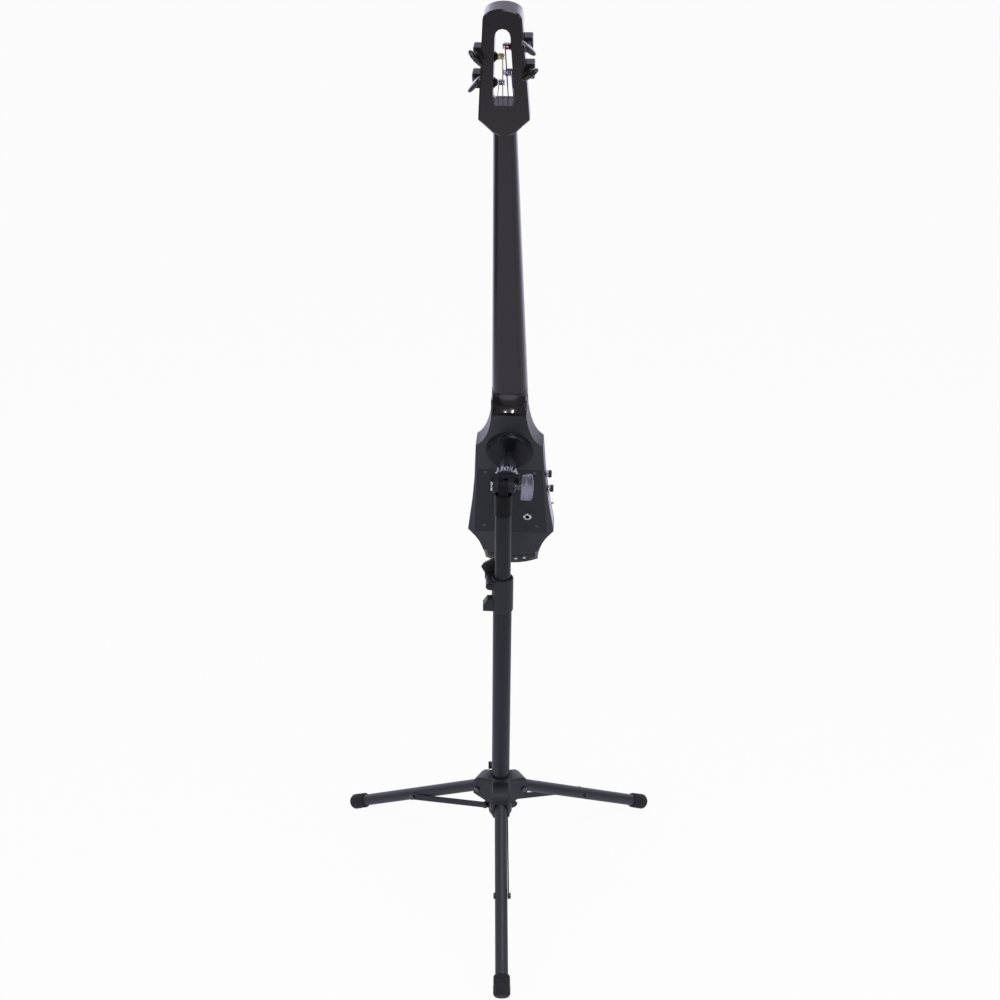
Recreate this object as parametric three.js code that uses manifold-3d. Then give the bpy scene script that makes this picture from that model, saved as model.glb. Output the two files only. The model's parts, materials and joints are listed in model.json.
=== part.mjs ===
import * as THREE from "three";
import { mergeVertices } from "three/addons/utils/BufferGeometryUtils.js";
import Module from "manifold-3d";

// An electric cello hung on its telescopic tripod stand, in millimetres, +Z up.
// The strings face +Y and the back of the instrument faces -Y.
// The stand is drawn round its pole, and the instrument in a frame of its own:
// x across the back, y from the back to the strings, z from the tail to the head.
// At the end the whole is moved so that the origin lies under the middle of its box.

const wasm = await Module();
wasm.setup();

// Fits and finish shared by all pieces
const clearance = 0.3;
const overrun = 4;
const fineSides = 20;
const coarseSides = 10;

// Driving dimensions of the tripod
const poleRadius = 15;
const tubeWall = 1.5;
const legRadius = 10.2;
const legSlope = THREE.MathUtils.degToRad(28.5);
const legPivotRadius = 38;
const legPivotHeight = 160;
const rivetDistance = 155;
const footRadius = 13.5;
const footLength = 33;
const footFlat = 1.5;
const footFloor = 4;
const bracePivotRadius = 23;
const bracePivotHeight = 129;
const braceHeight = 11;
const braceThickness = 2;
const pinRadius = 3;
const pinHeadRadius = 5;
const pinHeadHeight = 2.5;

// Driving dimensions of the hub and the brace collar
const hubWidth = 31;
const hubSleeveRadius = 19;
const hubTop = 197;
const hubLobeTop = 188;
const hubReach = 46.5;
const hubEarBottom = 147;
const clampEarHeight = 17;
const clampGap = 2;
const clampBoltRadius = 3;
const clampKnobRadius = 6.5;
const clampKnobLength = 11;
const braceCollarRadius = 20;
const braceCollarHeight = 18;
const braceLugThickness = 5;
const poleFoot = 8;

// Driving dimensions of the mast and its clamp
const mastRadius = 12.7;
const mastInsertion = 280;
const tiltStandoff = 48.2;
const bushLength = 32;
const heightCollarRadius = 17.2;
const heightCollarBottom = 522;
const heightCollarHeight = 59;
const heightLugReach = 27;
const heightLugDepth = 32;
const heightLugHeight = 13;
const heightLugDrop = 2.2;
const bossReach = 31;
const bossDepth = 16;
const bossHeight = 22;
const bossShoulder = 10.5;
const wingLength = 33.5;
const wingThickness = 6;
const wingHubRadius = 8;

// Driving dimensions of the tilting head
const tiltHeight = 739.2;
const tiltBarrelRadius = 10;
const tiltBarrelWidth = 32;
const tongueWidth = 14;
const tongueShoulder = 3;
const socketRadius = 13.6;
const sleeveLength = 26;
const studOffset = 3.3;
const headBlockWidth = 43;
const headBlockShift = 1.8;
const headBlockStart = 8.2;
const headBlockEnd = 18.5;
const headBlockHeight = 20.4;
const tongueRoomRadius = 12.5;
const tiltBoltRadius = 4;
const tiltBoltHeadLength = 3;
const tiltBoltHeadRadius = 7.6;
const handleGap = 10;
const handleWidth = 20;
const handleHeight = 48.5;
const handleDepth = 11;
const studLength = 87;
const studRadius = 6.2;
const studHubRadius = 12.5;
const studHubStart = 29;
const studHubEnd = 54;
const studInset = 1.2;
const lockNutRadius = 18.5;
const lockNutLength = 14.4;
const lockNutTeeth = 11;
const lockNutGroove = 2.6;
const discRadius = 37.5;
const discThickness = 7;

// How the instrument hangs: its lean, its roll and its yaw
const leanAngle = THREE.MathUtils.degToRad(14.15);
const rollAngle = THREE.MathUtils.degToRad(-0.5);
const yawAngle = THREE.MathUtils.degToRad(-4.5);
const discStation = 257;

// Driving dimensions of the body
const bodyLength = 345;
const bodyDepth = 36;
const tailStation = 2.8;
const tailHalfWidth = 44.5;
const tailRise = 11.2;
const lowerHalfWidth = 71.2;
const lowerCornerStation = 90;
const shoulderHalfWidth = 53;
const shoulderStation = 267.5;
const neckJoinHalfWidth = 27.8;
const archHalfWidth = 28;
const archBase = 319;
const archTop = 332.5;
const heelBase = 335;
const tailChamferTop = 37;
const tailChamferDepth = 18;
const flankBevelWidth = 8;
const flankBevelDepth = 3;
const frontBevelWidth = 3;
const frontBevelDepth = 3;

// Driving dimensions of the neck, the head and the fingerboard
const stringLength = 695;
const bridgeStation = 127;
const nutHalfWidth = 14.9;
const neckBackAtNut = 5;
const neckBackAtHeel = 10;
const neckFrontAtNut = 24;
const neckFrontAtHeel = 44;
const tenonLength = 50;
const tenonHalfWidth = 17;
const tenonInset = 3;
const tenonFront = 30;
const headDepth = 24;
const headTopRise = 126;
const headTopHalfWidth = 24.8;
const headTopDrop = 13;
const headFlareDrop = 18;
const headFlareHalfWidth = 34;
const headPointDrop = 43;
const headCurlDepth = 34;
const headCurlHeight = 24;
const headBevel = 2;
const slotBottomRise = 2;
const slotTopRise = 101.7;
const slotBottomHalfWidth = 14.2;
const slotTopHalfWidth = 10;
const slotCorner = 3;
const postBossRadius = 6.5;
const postBossLength = 1;
const nutThickness = 6;
const nutRise = 13.2;
const boardTailGap = 109.7;
const boardHalfWidthAtEnd = 30;
const boardEdge = 6.5;
const boardCrown = 5.5;

// Driving dimensions of the bridge, the strings and their anchor
const bridgeThickness = 9;
const bridgeTopThickness = 3;
const bridgeHalfWidth = 42;
const bridgeTopHalfWidth = 30;
const bridgeHeight = 33;
const bridgeArch = 5.5;
const bridgeWindow = 6.5;
const bridgeFootGap = 22;
const bridgeFootHeight = 5;
const bridgeArchHalf = 15.4;
const pickupWidth = 7;
const pickupHeight = 3;
const pickupHalfWidth = 34;
const bridgeSpacing = 16;
const nutSpacing = 7.33;
const nutArch = 0.9;
const grooveRoom = 0.45;
const tailSpacing = 14.4;
const stringRadii = { a: 0.5, d: 0.65, g: 0.8, c: 1 };
const anchorHalfWidth = 40;
const anchorProud = 1;
const anchorTopDepth = 30;
const anchorFrontTop = 25;
const anchorRise = 4;
const anchorHoleRadius = 1.5;
const anchorHoleStation = 21.2;
const anchorHoleRise = 3.3;
const ballRadius = 3.4;
const ballLength = 5;
const ballSeatRadius = 4.4;
const bendRadius = 3;

// Driving dimensions of the tuners
const postRadius = 2.7;
const postCollarRadius = 3.6;
const postCollarLength = 1.6;
const postTip = 1;
const postDepth = 16;
const lowPostRise = 27;
const postPitch = 34;
const postStagger = 13.3;
const windingTurns = 3;
const turnSteps = 24;
const windingGap = 0.55;
const housingThickness = 10;
const housingHeight = 19.4;
const housingDepth = 18;
const gearRadius = 4.4;
const gearThickness = 5;
const gearLift = 2.4;
const wormRadius = 3;
const keyCollarRadius = 3.6;
const keyShaftLength = 14.7;
const keyLength = 26;
const keyWidth = 16;
const keyThickness = 7;
const keyOverlap = 2;

// Driving dimensions of the electrics
const coverBottom = 88.7;
const coverTop = 220;
const coverBottomHalfWidth = 59.2;
const coverTopHalfWidth = 51;
const coverThickness = 2;
const coverScrewRadius = 2.2;
const coverScrewHalfSpan = 43;
const coverScrewRise = 13.6;
const coverScrewTopInset = 12;
const coverScrewTopDrop = 6;
const pilotRadius = 1.4;
const pilotDepth = 12;
const bayBottom = 110;
const bayTop = 209.5;
const bayHalfWidth = 42;
const bayDepth = 27;
const jackOffset = 28;
const jackStation = 123.4;
const jackFlangeRadius = 6.9;
const jackBarrelRadius = 4.6;
const jackBore = 3.3;
const jackLength = 22;
const jackProud = 2.2;
const knobRadius = 6;
const knobLength = 8.5;
const knobLift = 1;
const volumeStation = 199.8;
const toneStation = 169.7;
const knobDepth = 18;
const shaftRadius = 2.8;
const potRadius = 8;
const potLength = 9;
const boardThickness = 1.6;
const sidePlateBottom = 96;
const sidePlateTop = 154;
const sidePlateWidth = 18;
const sidePlateThickness = 1.2;
const toggleStation = 137.8;
const toggleRadius = 1.3;
const toggleTipRadius = 2;
const toggleLength = 4.5;
const toggleBushRadius = 3.4;
const toggleBushLength = 2;
const toggleTail = 2;
const toggleSwing = 0.7;
const switchRadius = 5;
const switchDepth = 8;
const plateSink = 1.6;
const switchLength = 14;

// Colours and finishes
const finish = (color, roughness, metalness) =>
  new THREE.MeshStandardMaterial({ color, roughness, metalness });
const tubePaint = () => finish("#2c2d34", 0.45, 0.3);
const castPaint = () => finish("#26272d", 0.55, 0.2);
const blackRubber = () => finish("#1f2024", 0.85, 0);
const blackPlastic = () => finish("#1c1c20", 0.4, 0);
const brightSteel = () => finish("#b9bcc0", 0.25, 1);
const bodyLacquer = () => finish("#33343a", 0.35, 0);
const neckLacquer = () => finish("#241d20", 0.25, 0);
const ebony = () => finish("#17151a", 0.5, 0);
const maple = () => finish("#b08a58", 0.6, 0);
const keyGloss = () => finish("#0f0f12", 0.15, 0);
const greyPlate = () => finish("#c9cbcf", 0.35, 0.6);
const boardGreen = () => finish("#2d5a3a", 0.6, 0);

// Solids: closed geometry in, joined and cut solids out
function toSolid(geometry) {
  geometry.deleteAttribute("normal");
  geometry.deleteAttribute("uv");
  const merged = mergeVertices(geometry);
  const build = (indices) =>
    new wasm.Manifold(
      new wasm.Mesh({
        numProp: 3,
        vertProperties: merged.attributes.position.array,
        triVerts: indices,
      }),
    );
  const indices = new Uint32Array(merged.index.array);
  const solid = build(indices);
  return solid.volume() > 0 ? solid : build(indices.slice().reverse());
}

function toGeometry(solid) {
  const mesh = solid.getMesh();
  const geometry = new THREE.BufferGeometry();
  geometry.setAttribute("position", new THREE.BufferAttribute(mesh.vertProperties, 3));
  geometry.setIndex(new THREE.BufferAttribute(mesh.triVerts, 1));
  geometry.computeVertexNormals();
  return geometry;
}

const joined = (...solids) => solids.reduce((whole, piece) => whole.add(piece));
const cutBy = (whole, ...tools) => tools.reduce((rest, tool) => rest.subtract(tool), whole);
const crossed = (...solids) => solids.reduce((whole, piece) => whole.intersect(piece));

// A box given by its limits along each axis
function block([x0, x1], [y0, y1], [z0, z1]) {
  const geometry = new THREE.BoxGeometry(x1 - x0, y1 - y0, z1 - z0);
  return toSolid(geometry.translate((x0 + x1) / 2, (y0 + y1) / 2, (z0 + z1) / 2));
}

// The turn that lays a shape's plane across the named axis
const acrossAxis = {
  x: new THREE.Matrix4().makeBasis(
    new THREE.Vector3(0, 1, 0),
    new THREE.Vector3(0, 0, 1),
    new THREE.Vector3(1, 0, 0),
  ),
  y: new THREE.Matrix4().makeBasis(
    new THREE.Vector3(1, 0, 0),
    new THREE.Vector3(0, 0, 1),
    new THREE.Vector3(0, -1, 0),
  ),
  z: new THREE.Matrix4(),
};

// A straight prism: its outline lies across the axis, from one place on it to another
function prism(axis, outline, from, to, bevel = 0) {
  const shape = new THREE.Shape(outline.map(([u, v]) => new THREE.Vector2(u, v)));
  const geometry = new THREE.ExtrudeGeometry(shape, {
    depth: to - from - 2 * bevel,
    bevelEnabled: bevel > 0,
    bevelThickness: bevel,
    bevelSize: bevel,
    bevelOffset: -bevel,
    bevelSegments: 1,
    curveSegments: coarseSides,
  });
  geometry.applyMatrix4(acrossAxis[axis]);
  const start = { x: [from + bevel, 0, 0], y: [0, to - bevel, 0], z: [0, 0, from + bevel] };
  return toSolid(geometry.translate(...start[axis]));
}

// A turned piece round the named axis, from pairs of radius and place along it
function turned(axis, profile, at = [0, 0, 0], sides = fineSides) {
  const points = profile.map(([radius, along]) => new THREE.Vector2(radius, along));
  const geometry = new THREE.LatheGeometry(points, sides);
  if (axis === "z") geometry.rotateX(Math.PI / 2);
  if (axis === "x") geometry.rotateZ(-Math.PI / 2);
  return toSolid(geometry.translate(...at));
}

const rod = (axis, radius, from, to, at = [0, 0, 0], sides = fineSides) =>
  turned(axis, [[0, from], [radius, from], [radius, to], [0, to]], at, sides);

const sleeve = (axis, outer, inner, from, to, at = [0, 0, 0], sides = fineSides) =>
  turned(axis, [[inner, from], [outer, from], [outer, to], [inner, to], [inner, from]], at, sides);

// A closed skin over rings of equal count, capped at both ends
function loft(rings, flatten) {
  const count = rings[0].length;
  const positions = rings.flat().flatMap((point) => point.toArray());
  const indices = [];
  for (let ring = 0; ring + 1 < rings.length; ring += 1) {
    for (let side = 0; side < count; side += 1) {
      const next = (side + 1) % count;
      const here = ring * count;
      const there = here + count;
      indices.push(here + side, here + next, there + side);
      indices.push(here + next, there + next, there + side);
    }
  }
  const cap = (ring, offset, reversed) => {
    for (const face of THREE.ShapeUtils.triangulateShape(ring.map(flatten), [])) {
      const corners = face.map((corner) => corner + offset);
      indices.push(...(reversed ? corners.reverse() : corners));
    }
  };
  const flatRing = rings[0].map(flatten);
  const clockwise = THREE.ShapeUtils.isClockWise(flatRing);
  cap(rings[0], 0, !clockwise);
  cap(rings[rings.length - 1], (rings.length - 1) * count, clockwise);
  const geometry = new THREE.BufferGeometry();
  geometry.setAttribute("position", new THREE.Float32BufferAttribute(positions, 3));
  geometry.setIndex(indices);
  return toSolid(geometry);
}

// A round section carried along a list of points, as one unbroken tube
function sweep(points, radius, sides) {
  const rings = [];
  let across = new THREE.Vector3(1, 0, 0);
  points.forEach((point, index) => {
    const before = points[Math.max(index - 1, 0)];
    const after = points[Math.min(index + 1, points.length - 1)];
    const heading = after.clone().sub(before).normalize();
    across = across.clone().addScaledVector(heading, -across.dot(heading)).normalize();
    const up = heading.clone().cross(across);
    rings.push(
      Array.from({ length: sides }, (_, side) => {
        const turn = (2 * Math.PI * side) / sides;
        return point
          .clone()
          .addScaledVector(across, radius * Math.cos(turn))
          .addScaledVector(up, radius * Math.sin(turn));
      }),
    );
  });
  const flatten = (_, index) => {
    const turn = (2 * Math.PI * index) / sides;
    return new THREE.Vector2(Math.cos(turn), Math.sin(turn));
  };
  return loft(rings, flatten);
}

function place(parent, name, solid, material) {
  const mesh = new THREE.Mesh(toGeometry(solid), material);
  mesh.name = name;
  parent.add(mesh);
  return mesh;
}

const model = new THREE.Group();
const stand = new THREE.Group();
model.add(stand);

// The pole: one steel tube, closed at the bottom by a pressed-in plug
const heightCollarTop = heightCollarBottom + heightCollarHeight;
const poleTop = heightCollarTop - bushLength;
const poleBottom = bracePivotHeight - braceCollarHeight / 2 - poleFoot;
const poleBore = poleRadius - tubeWall;
place(
  stand,
  "pole_tube",
  sleeve("z", poleRadius, poleBore, poleBottom, poleTop),
  tubePaint(),
);
const plugLip = 3;
const plugDepth = 18;
place(
  stand,
  "pole_plug",
  turned("z", [
    [0, poleBottom - plugLip - clearance],
    [poleRadius - tubeWall / 2, poleBottom - plugLip - clearance],
    [poleRadius, poleBottom - plugLip / 2],
    [poleRadius, poleBottom - clearance],
    [poleBore - clearance, poleBottom - clearance],
    [poleBore - clearance, poleBottom + plugDepth],
    [0, poleBottom + plugDepth],
  ]),
  blackPlastic(),
);

// The places that the three legs share, in the upright plane of one leg
const legAzimuths = { front: -Math.PI / 2, right: Math.PI / 6, left: (5 * Math.PI) / 6 };
const footTip = (legPivotHeight - footRadius * Math.cos(legSlope) + footFlat) / Math.sin(legSlope);
const rivetRadius = legPivotRadius + rivetDistance * Math.cos(legSlope);
const rivetHeight = legPivotHeight - rivetDistance * Math.sin(legSlope);
const braceRun = rivetRadius - bracePivotRadius;
const braceFall = bracePivotHeight - rivetHeight;
const braceLength = Math.hypot(braceRun, braceFall);
const braceSlope = Math.atan2(braceFall, braceRun);
const braceInner = legRadius + 2 * clearance;
const braceOuter = braceInner + braceThickness;
const pinHole = pinRadius + clearance;
const turnedAbout = (solid, azimuth) => {
  const degrees = THREE.MathUtils.radToDeg(azimuth);
  return solid.rotate([0, 0, degrees]);
};

// The brace collar: fixed near the pole's bottom, with two lugs and a stub pin for each brace
const lugOuter = braceInner - clearance;
const lugInner = lugOuter - braceLugThickness;
const lugRadius = braceHeight / 2;
const stubEnd = braceOuter + clearance + pinHeadHeight;
function braceLugs(azimuth) {
  const pivot = [bracePivotRadius, 0, bracePivotHeight];
  const lugSides = [
    [lugInner, lugOuter],
    [-lugOuter, -lugInner],
  ];
  const lugs = lugSides.map(([from, to]) =>
    joined(
      rod("y", lugRadius, from, to, pivot, coarseSides),
      block([0, bracePivotRadius], [from, to], [bracePivotHeight - lugRadius, bracePivotHeight + lugRadius]),
    ),
  );
  const stub = rod("y", pinRadius, lugInner, stubEnd, pivot, coarseSides);
  const head = rod("y", pinHeadRadius, stubEnd - pinHeadHeight, stubEnd, pivot, coarseSides);
  return turnedAbout(joined(...lugs, stub, head), azimuth);
}
const braceCollarBase = bracePivotHeight - braceCollarHeight / 2;
const poleHole = rod("z", poleRadius + clearance, 0, tiltHeight);
place(
  stand,
  "brace_collar",
  cutBy(
    joined(
      rod("z", braceCollarRadius, braceCollarBase, braceCollarBase + braceCollarHeight),
      ...Object.values(legAzimuths).map(braceLugs),
    ),
    poleHole,
  ),
  castPaint(),
);

// The hub: a casting that slides on the pole, with a lobe over each leg's end
const legHole = legRadius + 2 * clearance;
const hubBottom = bracePivotHeight + braceCollarHeight / 2 + 2 * clearance;
const hubLobeShares = [[0, 1], [0.6, 0.95], [0.8, 0.88], [0.95, 0.73], [1, 0.61], [1, 0]];
const hubLobe = [
  ...hubLobeShares.map(([u, v]) => [u * hubReach, hubEarBottom + v * (hubLobeTop - hubEarBottom)]),
  [hubSleeveRadius, hubBottom],
  [0, hubBottom],
];
function hubArm(azimuth) {
  const bevel = (hubWidth - 2 * legHole) / 4;
  const lobe = prism("y", hubLobe, -hubWidth / 2, hubWidth / 2, bevel);
  return turnedAbout(lobe, azimuth);
}
function legRoom(azimuth) {
  const outside = hubReach + overrun;
  const mouthRise = legPivotHeight - (outside - legPivotRadius) * Math.tan(legSlope);
  const axisLift = legHole / Math.cos(legSlope);
  const room = prism(
    "y",
    [
      [legPivotRadius - legHole, hubBottom - overrun],
      [outside, hubBottom - overrun],
      [outside, mouthRise + axisLift],
      [legPivotRadius + legHole * Math.sin(legSlope), legPivotHeight + legHole * Math.cos(legSlope)],
      [legPivotRadius, legPivotHeight + legHole],
      [legPivotRadius - legHole, legPivotHeight + legHole],
    ],
    -legHole,
    legHole,
  );
  const pin = rod("y", pinHole, -hubWidth, hubWidth, [legPivotRadius, 0, legPivotHeight], coarseSides);
  return turnedAbout(joined(room, pin), azimuth);
}
const clampEarTop = hubLobeTop + clearance + clampEarHeight;
const clampBoltHeight = clampEarTop - clampEarHeight / 2;
const clampEarHalfWidth = hubSleeveRadius / 2;
const clampEarRoot = Math.sqrt(hubSleeveRadius ** 2 - clampEarHalfWidth ** 2);
const clampEarMiddle = clampEarRoot + clampKnobRadius + clearance * 2;
const clampEarOuter = clampEarMiddle + clampEarHeight / 2;
const clampEars = block(
  [-clampEarHalfWidth, clampEarHalfWidth],
  [0, clampEarOuter],
  [hubTop - clampEarHeight, clampEarTop],
);
const clampSlit = block(
  [-clampGap / 2, clampGap / 2],
  [0, clampEarOuter + overrun],
  [hubTop - clampEarHeight - overrun, clampEarTop + overrun],
);
const clampHole = rod(
  "x",
  clampBoltRadius + clearance,
  -hubWidth,
  hubWidth,
  [0, clampEarMiddle, clampBoltHeight],
  coarseSides,
);
place(
  stand,
  "leg_hub",
  cutBy(
    joined(
      rod("z", hubSleeveRadius, hubBottom, hubTop),
      ...Object.values(legAzimuths).map(hubArm),
      clampEars,
    ),
    poleHole,
    ...Object.values(legAzimuths).map(legRoom),
    clampSlit,
    clampHole,
  ),
  castPaint(),
);
const clampSeat = clampEarHalfWidth + clearance;
place(
  stand,
  "hub_clamp_bolt",
  joined(
    rod("x", clampBoltRadius, -clampSeat - clampKnobLength, clampSeat, [0, 0, 0], coarseSides),
    rod("x", clampKnobRadius, -clampSeat - clampKnobLength, -clampSeat, [0, 0, 0], coarseSides),
    rod("x", clampKnobRadius, clampSeat, clampSeat + clampKnobLength / 2, [0, 0, 0], 6),
  ),
  castPaint(),
).position.set(0, clampEarMiddle, clampBoltHeight);

// Each leg, drawn along its own axis from its pivot, with its pin, rubber foot, brace and rivet
const legEnd = footTip - footFloor - clearance;
function makeLeg(side, azimuth) {
  const leg = new THREE.Group();
  leg.position.set(
    legPivotRadius * Math.cos(azimuth),
    legPivotRadius * Math.sin(azimuth),
    legPivotHeight,
  );
  leg.rotation.set(0, legSlope, azimuth, "ZYX");
  stand.add(leg);

  const knuckle = toSolid(new THREE.SphereGeometry(legRadius, fineSides, coarseSides / 2));
  const farHead = rod(
    "y",
    pinHeadRadius,
    -legRadius - pinHeadHeight,
    tubeWall - legRadius,
    [rivetDistance, 0, 0],
    coarseSides,
  );
  const tube = cutBy(
    joined(rod("x", legRadius, 0, legEnd), knuckle, farHead),
    rod("x", legRadius - tubeWall, legRadius * 2, legEnd + overrun),
    rod("y", pinHole, -hubWidth, hubWidth, [0, 0, 0], coarseSides),
  );
  place(leg, "leg_" + side, tube, tubePaint());

  const headAt = hubWidth / 2 + clearance;
  const pin = joined(
    rod("y", pinRadius, -headAt, headAt, [0, 0, 0], coarseSides),
    rod("y", pinHeadRadius, headAt, headAt + pinHeadHeight, [0, 0, 0], coarseSides),
    rod("y", pinHeadRadius, -headAt - pinHeadHeight, -headAt, [0, 0, 0], coarseSides),
  );
  place(leg, "leg_pin_" + side, pin, brightSteel());

  const lip = footFloor / 2;
  const rubber = turned("x", [
    [0, footTip - footFloor],
    [legRadius + clearance, footTip - footFloor],
    [legRadius + clearance, footTip - footLength],
    [footRadius - lip, footTip - footLength],
    [footRadius, footTip - footLength + lip],
    [footRadius, footTip - lip],
    [footRadius - lip, footTip],
    [0, footTip],
  ]);
  const sole = block([0, footTip * 2], [-footTip, footTip], [-footTip, 0]);
  const lowered = sole.rotate([0, -THREE.MathUtils.radToDeg(legSlope), 0]);
  const fall = legPivotHeight;
  const shifted = lowered.translate([fall * Math.sin(legSlope), 0, -fall * Math.cos(legSlope)]);
  place(leg, "foot_" + side, cutBy(rubber, shifted), blackRubber());
}

function makeBrace(side, azimuth) {
  const brace = new THREE.Group();
  brace.position.set(
    bracePivotRadius * Math.cos(azimuth),
    bracePivotRadius * Math.sin(azimuth),
    bracePivotHeight,
  );
  brace.rotation.set(0, braceSlope, azimuth, "ZYX");
  stand.add(brace);

  const half = braceHeight / 2;
  const barEnds = [0, braceLength].map((x) =>
    rod("y", half, braceInner, braceOuter, [x, 0, 0], coarseSides),
  );
  const barHoles = [0, braceLength].map((x) =>
    rod("y", pinHole, 0, hubWidth, [x, 0, 0], coarseSides),
  );
  const bar = joined(block([0, braceLength], [braceInner, braceOuter], [-half, half]), ...barEnds);
  place(brace, "brace_" + side, cutBy(bar, ...barHoles), tubePaint());

  const rivetAt = [braceLength, 0, 0];
  const rivet = joined(
    rod("y", pinRadius, legRadius + clearance, braceOuter + clearance, rivetAt, coarseSides),
    rod(
      "y",
      pinHeadRadius,
      braceOuter + clearance,
      braceOuter + clearance + pinHeadHeight,
      rivetAt,
      coarseSides,
    ),
  );
  place(brace, "brace_rivet_" + side, rivet, brightSteel());
}
for (const [side, azimuth] of Object.entries(legAzimuths)) {
  makeLeg(side, azimuth);
  makeBrace(side, azimuth);
}

// The height collar: a clamp on the pole's top with a split lug, a boss and a wing screw
const lugMiddle = heightCollarTop - heightLugHeight / 2 - heightLugDrop;
const lugBoltX = -heightLugReach + heightLugHeight / 2;
const lugHalf = heightLugDepth / 2;
const lugBottom = lugMiddle - heightLugHeight / 2;
const heightLug = joined(
  rod("y", heightLugHeight / 2, -lugHalf, lugHalf, [lugBoltX, 0, lugMiddle], coarseSides),
  block([lugBoltX, 0], [-lugHalf, lugHalf], [lugBottom, lugBottom + heightLugHeight]),
);
const bossTop = heightCollarBottom + bossHeight;
const collarRim = tubeWall;
const heightBoss = prism(
  "y",
  [
    [0, bossTop],
    [-(bossReach + heightCollarRadius) / 2, bossTop],
    [-bossReach, bossTop - bossShoulder],
    [-bossReach, heightCollarBottom + collarRim],
    [0, heightCollarBottom],
  ],
  -bossDepth / 2,
  bossDepth / 2,
);
const collarBarrel = turned("z", [
  [0, heightCollarBottom],
  [heightCollarRadius - collarRim / 2, heightCollarBottom],
  [heightCollarRadius, heightCollarBottom + collarRim],
  [heightCollarRadius, heightCollarTop - collarRim],
  [heightCollarRadius - collarRim / 2, heightCollarTop],
  [0, heightCollarTop],
]);
const lugSlit = block(
  [-heightLugReach - overrun, 0],
  [-clampGap / 2, clampGap / 2],
  [lugMiddle - heightLugHeight, heightCollarTop + overrun],
);
const lugHole = rod(
  "y",
  pinHole,
  -heightLugDepth,
  heightLugDepth,
  [lugBoltX, 0, lugMiddle],
  coarseSides,
);
place(
  stand,
  "height_collar",
  cutBy(joined(collarBarrel, heightLug, heightBoss), poleHole, lugSlit, lugHole),
  castPaint(),
);

const wingShares = [
  [0.2, -0.08],
  [0.28, 0.3],
  [0.25, 1],
  [0.02, 0.85],
  [-0.28, 0.67],
  [-0.4, 0.48],
  [-0.24, 0.2],
  [-0.2, -0.16],
];
const wingOutline = wingShares.map(([u, v]) => [u * wingLength, v * wingLength]);
const wingStart = lugHalf + clearance + wingThickness / 3;
const wing = prism("y", wingOutline, wingStart, wingStart + wingThickness, wingThickness / 6);
place(
  stand,
  "wing_screw",
  joined(
    wing,
    rod(
      "y",
      wingHubRadius,
      lugHalf + clearance,
      wingStart + wingThickness + clearance,
      [0, 0, 0],
      coarseSides,
    ),
    rod("y", pinRadius, -lugHalf - pinHeadHeight, lugHalf + wingThickness, [0, 0, 0], coarseSides),
    rod("y", pinHeadRadius, -lugHalf - clearance - pinHeadHeight, -lugHalf - clearance, [0, 0, 0], 6),
  ),
  blackPlastic(),
).position.set(lugBoltX, 0, lugMiddle);

// The plastic bush that centres the mast at the collar's mouth
place(
  stand,
  "collar_bush",
  sleeve("z", poleRadius, mastRadius + clearance, poleTop + clearance, heightCollarTop - clearance),
  blackPlastic(),
);

// The mast: the upper tube, which slides in the pole and carries the tilt socket
const mastTop = tiltHeight - tiltStandoff;
const mast = new THREE.Group();
mast.rotation.z = yawAngle;
stand.add(mast);
place(
  mast,
  "mast_tube",
  sleeve("z", mastRadius, mastRadius - tubeWall, poleTop - mastInsertion, mastTop),
  tubePaint(),
);

// The tilt socket: a plug in the mast's end with a sleeve over it and the tilt joint's tongue
const sleeveBottom = mastTop - clearance;
const socketTopZ = tiltHeight - tiltBarrelRadius - tongueShoulder;
const socketPlug = rod("z", mastRadius - tubeWall - clearance, mastTop - sleeveLength, socketTopZ);
const socketBarrel = rod("z", socketRadius, mastTop + clearance, socketTopZ);
const tongueHalf = tongueWidth / 2;
const tongue = joined(
  block(
    [-tongueHalf, tongueHalf],
    [-tiltBarrelRadius, tiltBarrelRadius],
    [sleeveBottom + clearance * 2, tiltHeight],
  ),
  rod("x", tiltBarrelRadius, -tongueHalf, tongueHalf, [0, 0, tiltHeight]),
);
const tiltHole = rod(
  "x",
  tiltBoltRadius + clearance,
  -headBlockWidth,
  headBlockWidth,
  [0, 0, tiltHeight],
  coarseSides,
);
place(
  mast,
  "tilt_socket",
  cutBy(joined(socketPlug, socketBarrel, tongue), tiltHole),
  blackPlastic(),
);

// The tilting group: everything from here on turns with the tilt head
const tilting = new THREE.Group();
tilting.position.set(0, 0, tiltHeight);
tilting.rotation.x = leanAngle;
mast.add(tilting);

// The tilt head: two cheeks beside the tongue, and a block that takes the stud
const cheekOuter = tiltBarrelWidth / 2;
const cheekInner = tongueHalf + clearance;
const cheekRadius = tiltBarrelRadius;
const cheeks = [
  [cheekInner, cheekOuter],
  [-cheekOuter, -cheekInner],
].map(([from, to]) =>
  joined(
    rod("x", cheekRadius, from, to),
    block([from, to], [0, headBlockEnd - clearance], [-cheekRadius, cheekRadius]),
  ),
);
const headBlock = block(
  [headBlockShift - headBlockWidth / 2, headBlockShift + headBlockWidth / 2],
  [headBlockStart, headBlockEnd],
  [-headBlockHeight / 2, headBlockHeight / 2],
);
const studSeat = rod("y", studRadius + clearance, tongueRoomRadius - overrun, headBlockEnd + overrun, [
  studOffset,
  0,
  0,
]);
const tongueRoom = joined(
  rod("x", tongueRoomRadius, -cheekInner, cheekInner),
  block([-cheekInner, cheekInner], [0, tongueRoomRadius], [-headBlockHeight, 0]),
);
place(
  tilting,
  "tilt_head",
  cutBy(
    joined(headBlock, ...cheeks),
    studSeat,
    tongueRoom,
    rod("x", tiltBoltRadius + clearance, -headBlockWidth, headBlockWidth, [0, 0, 0], coarseSides),
  ),
  castPaint(),
);

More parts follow.
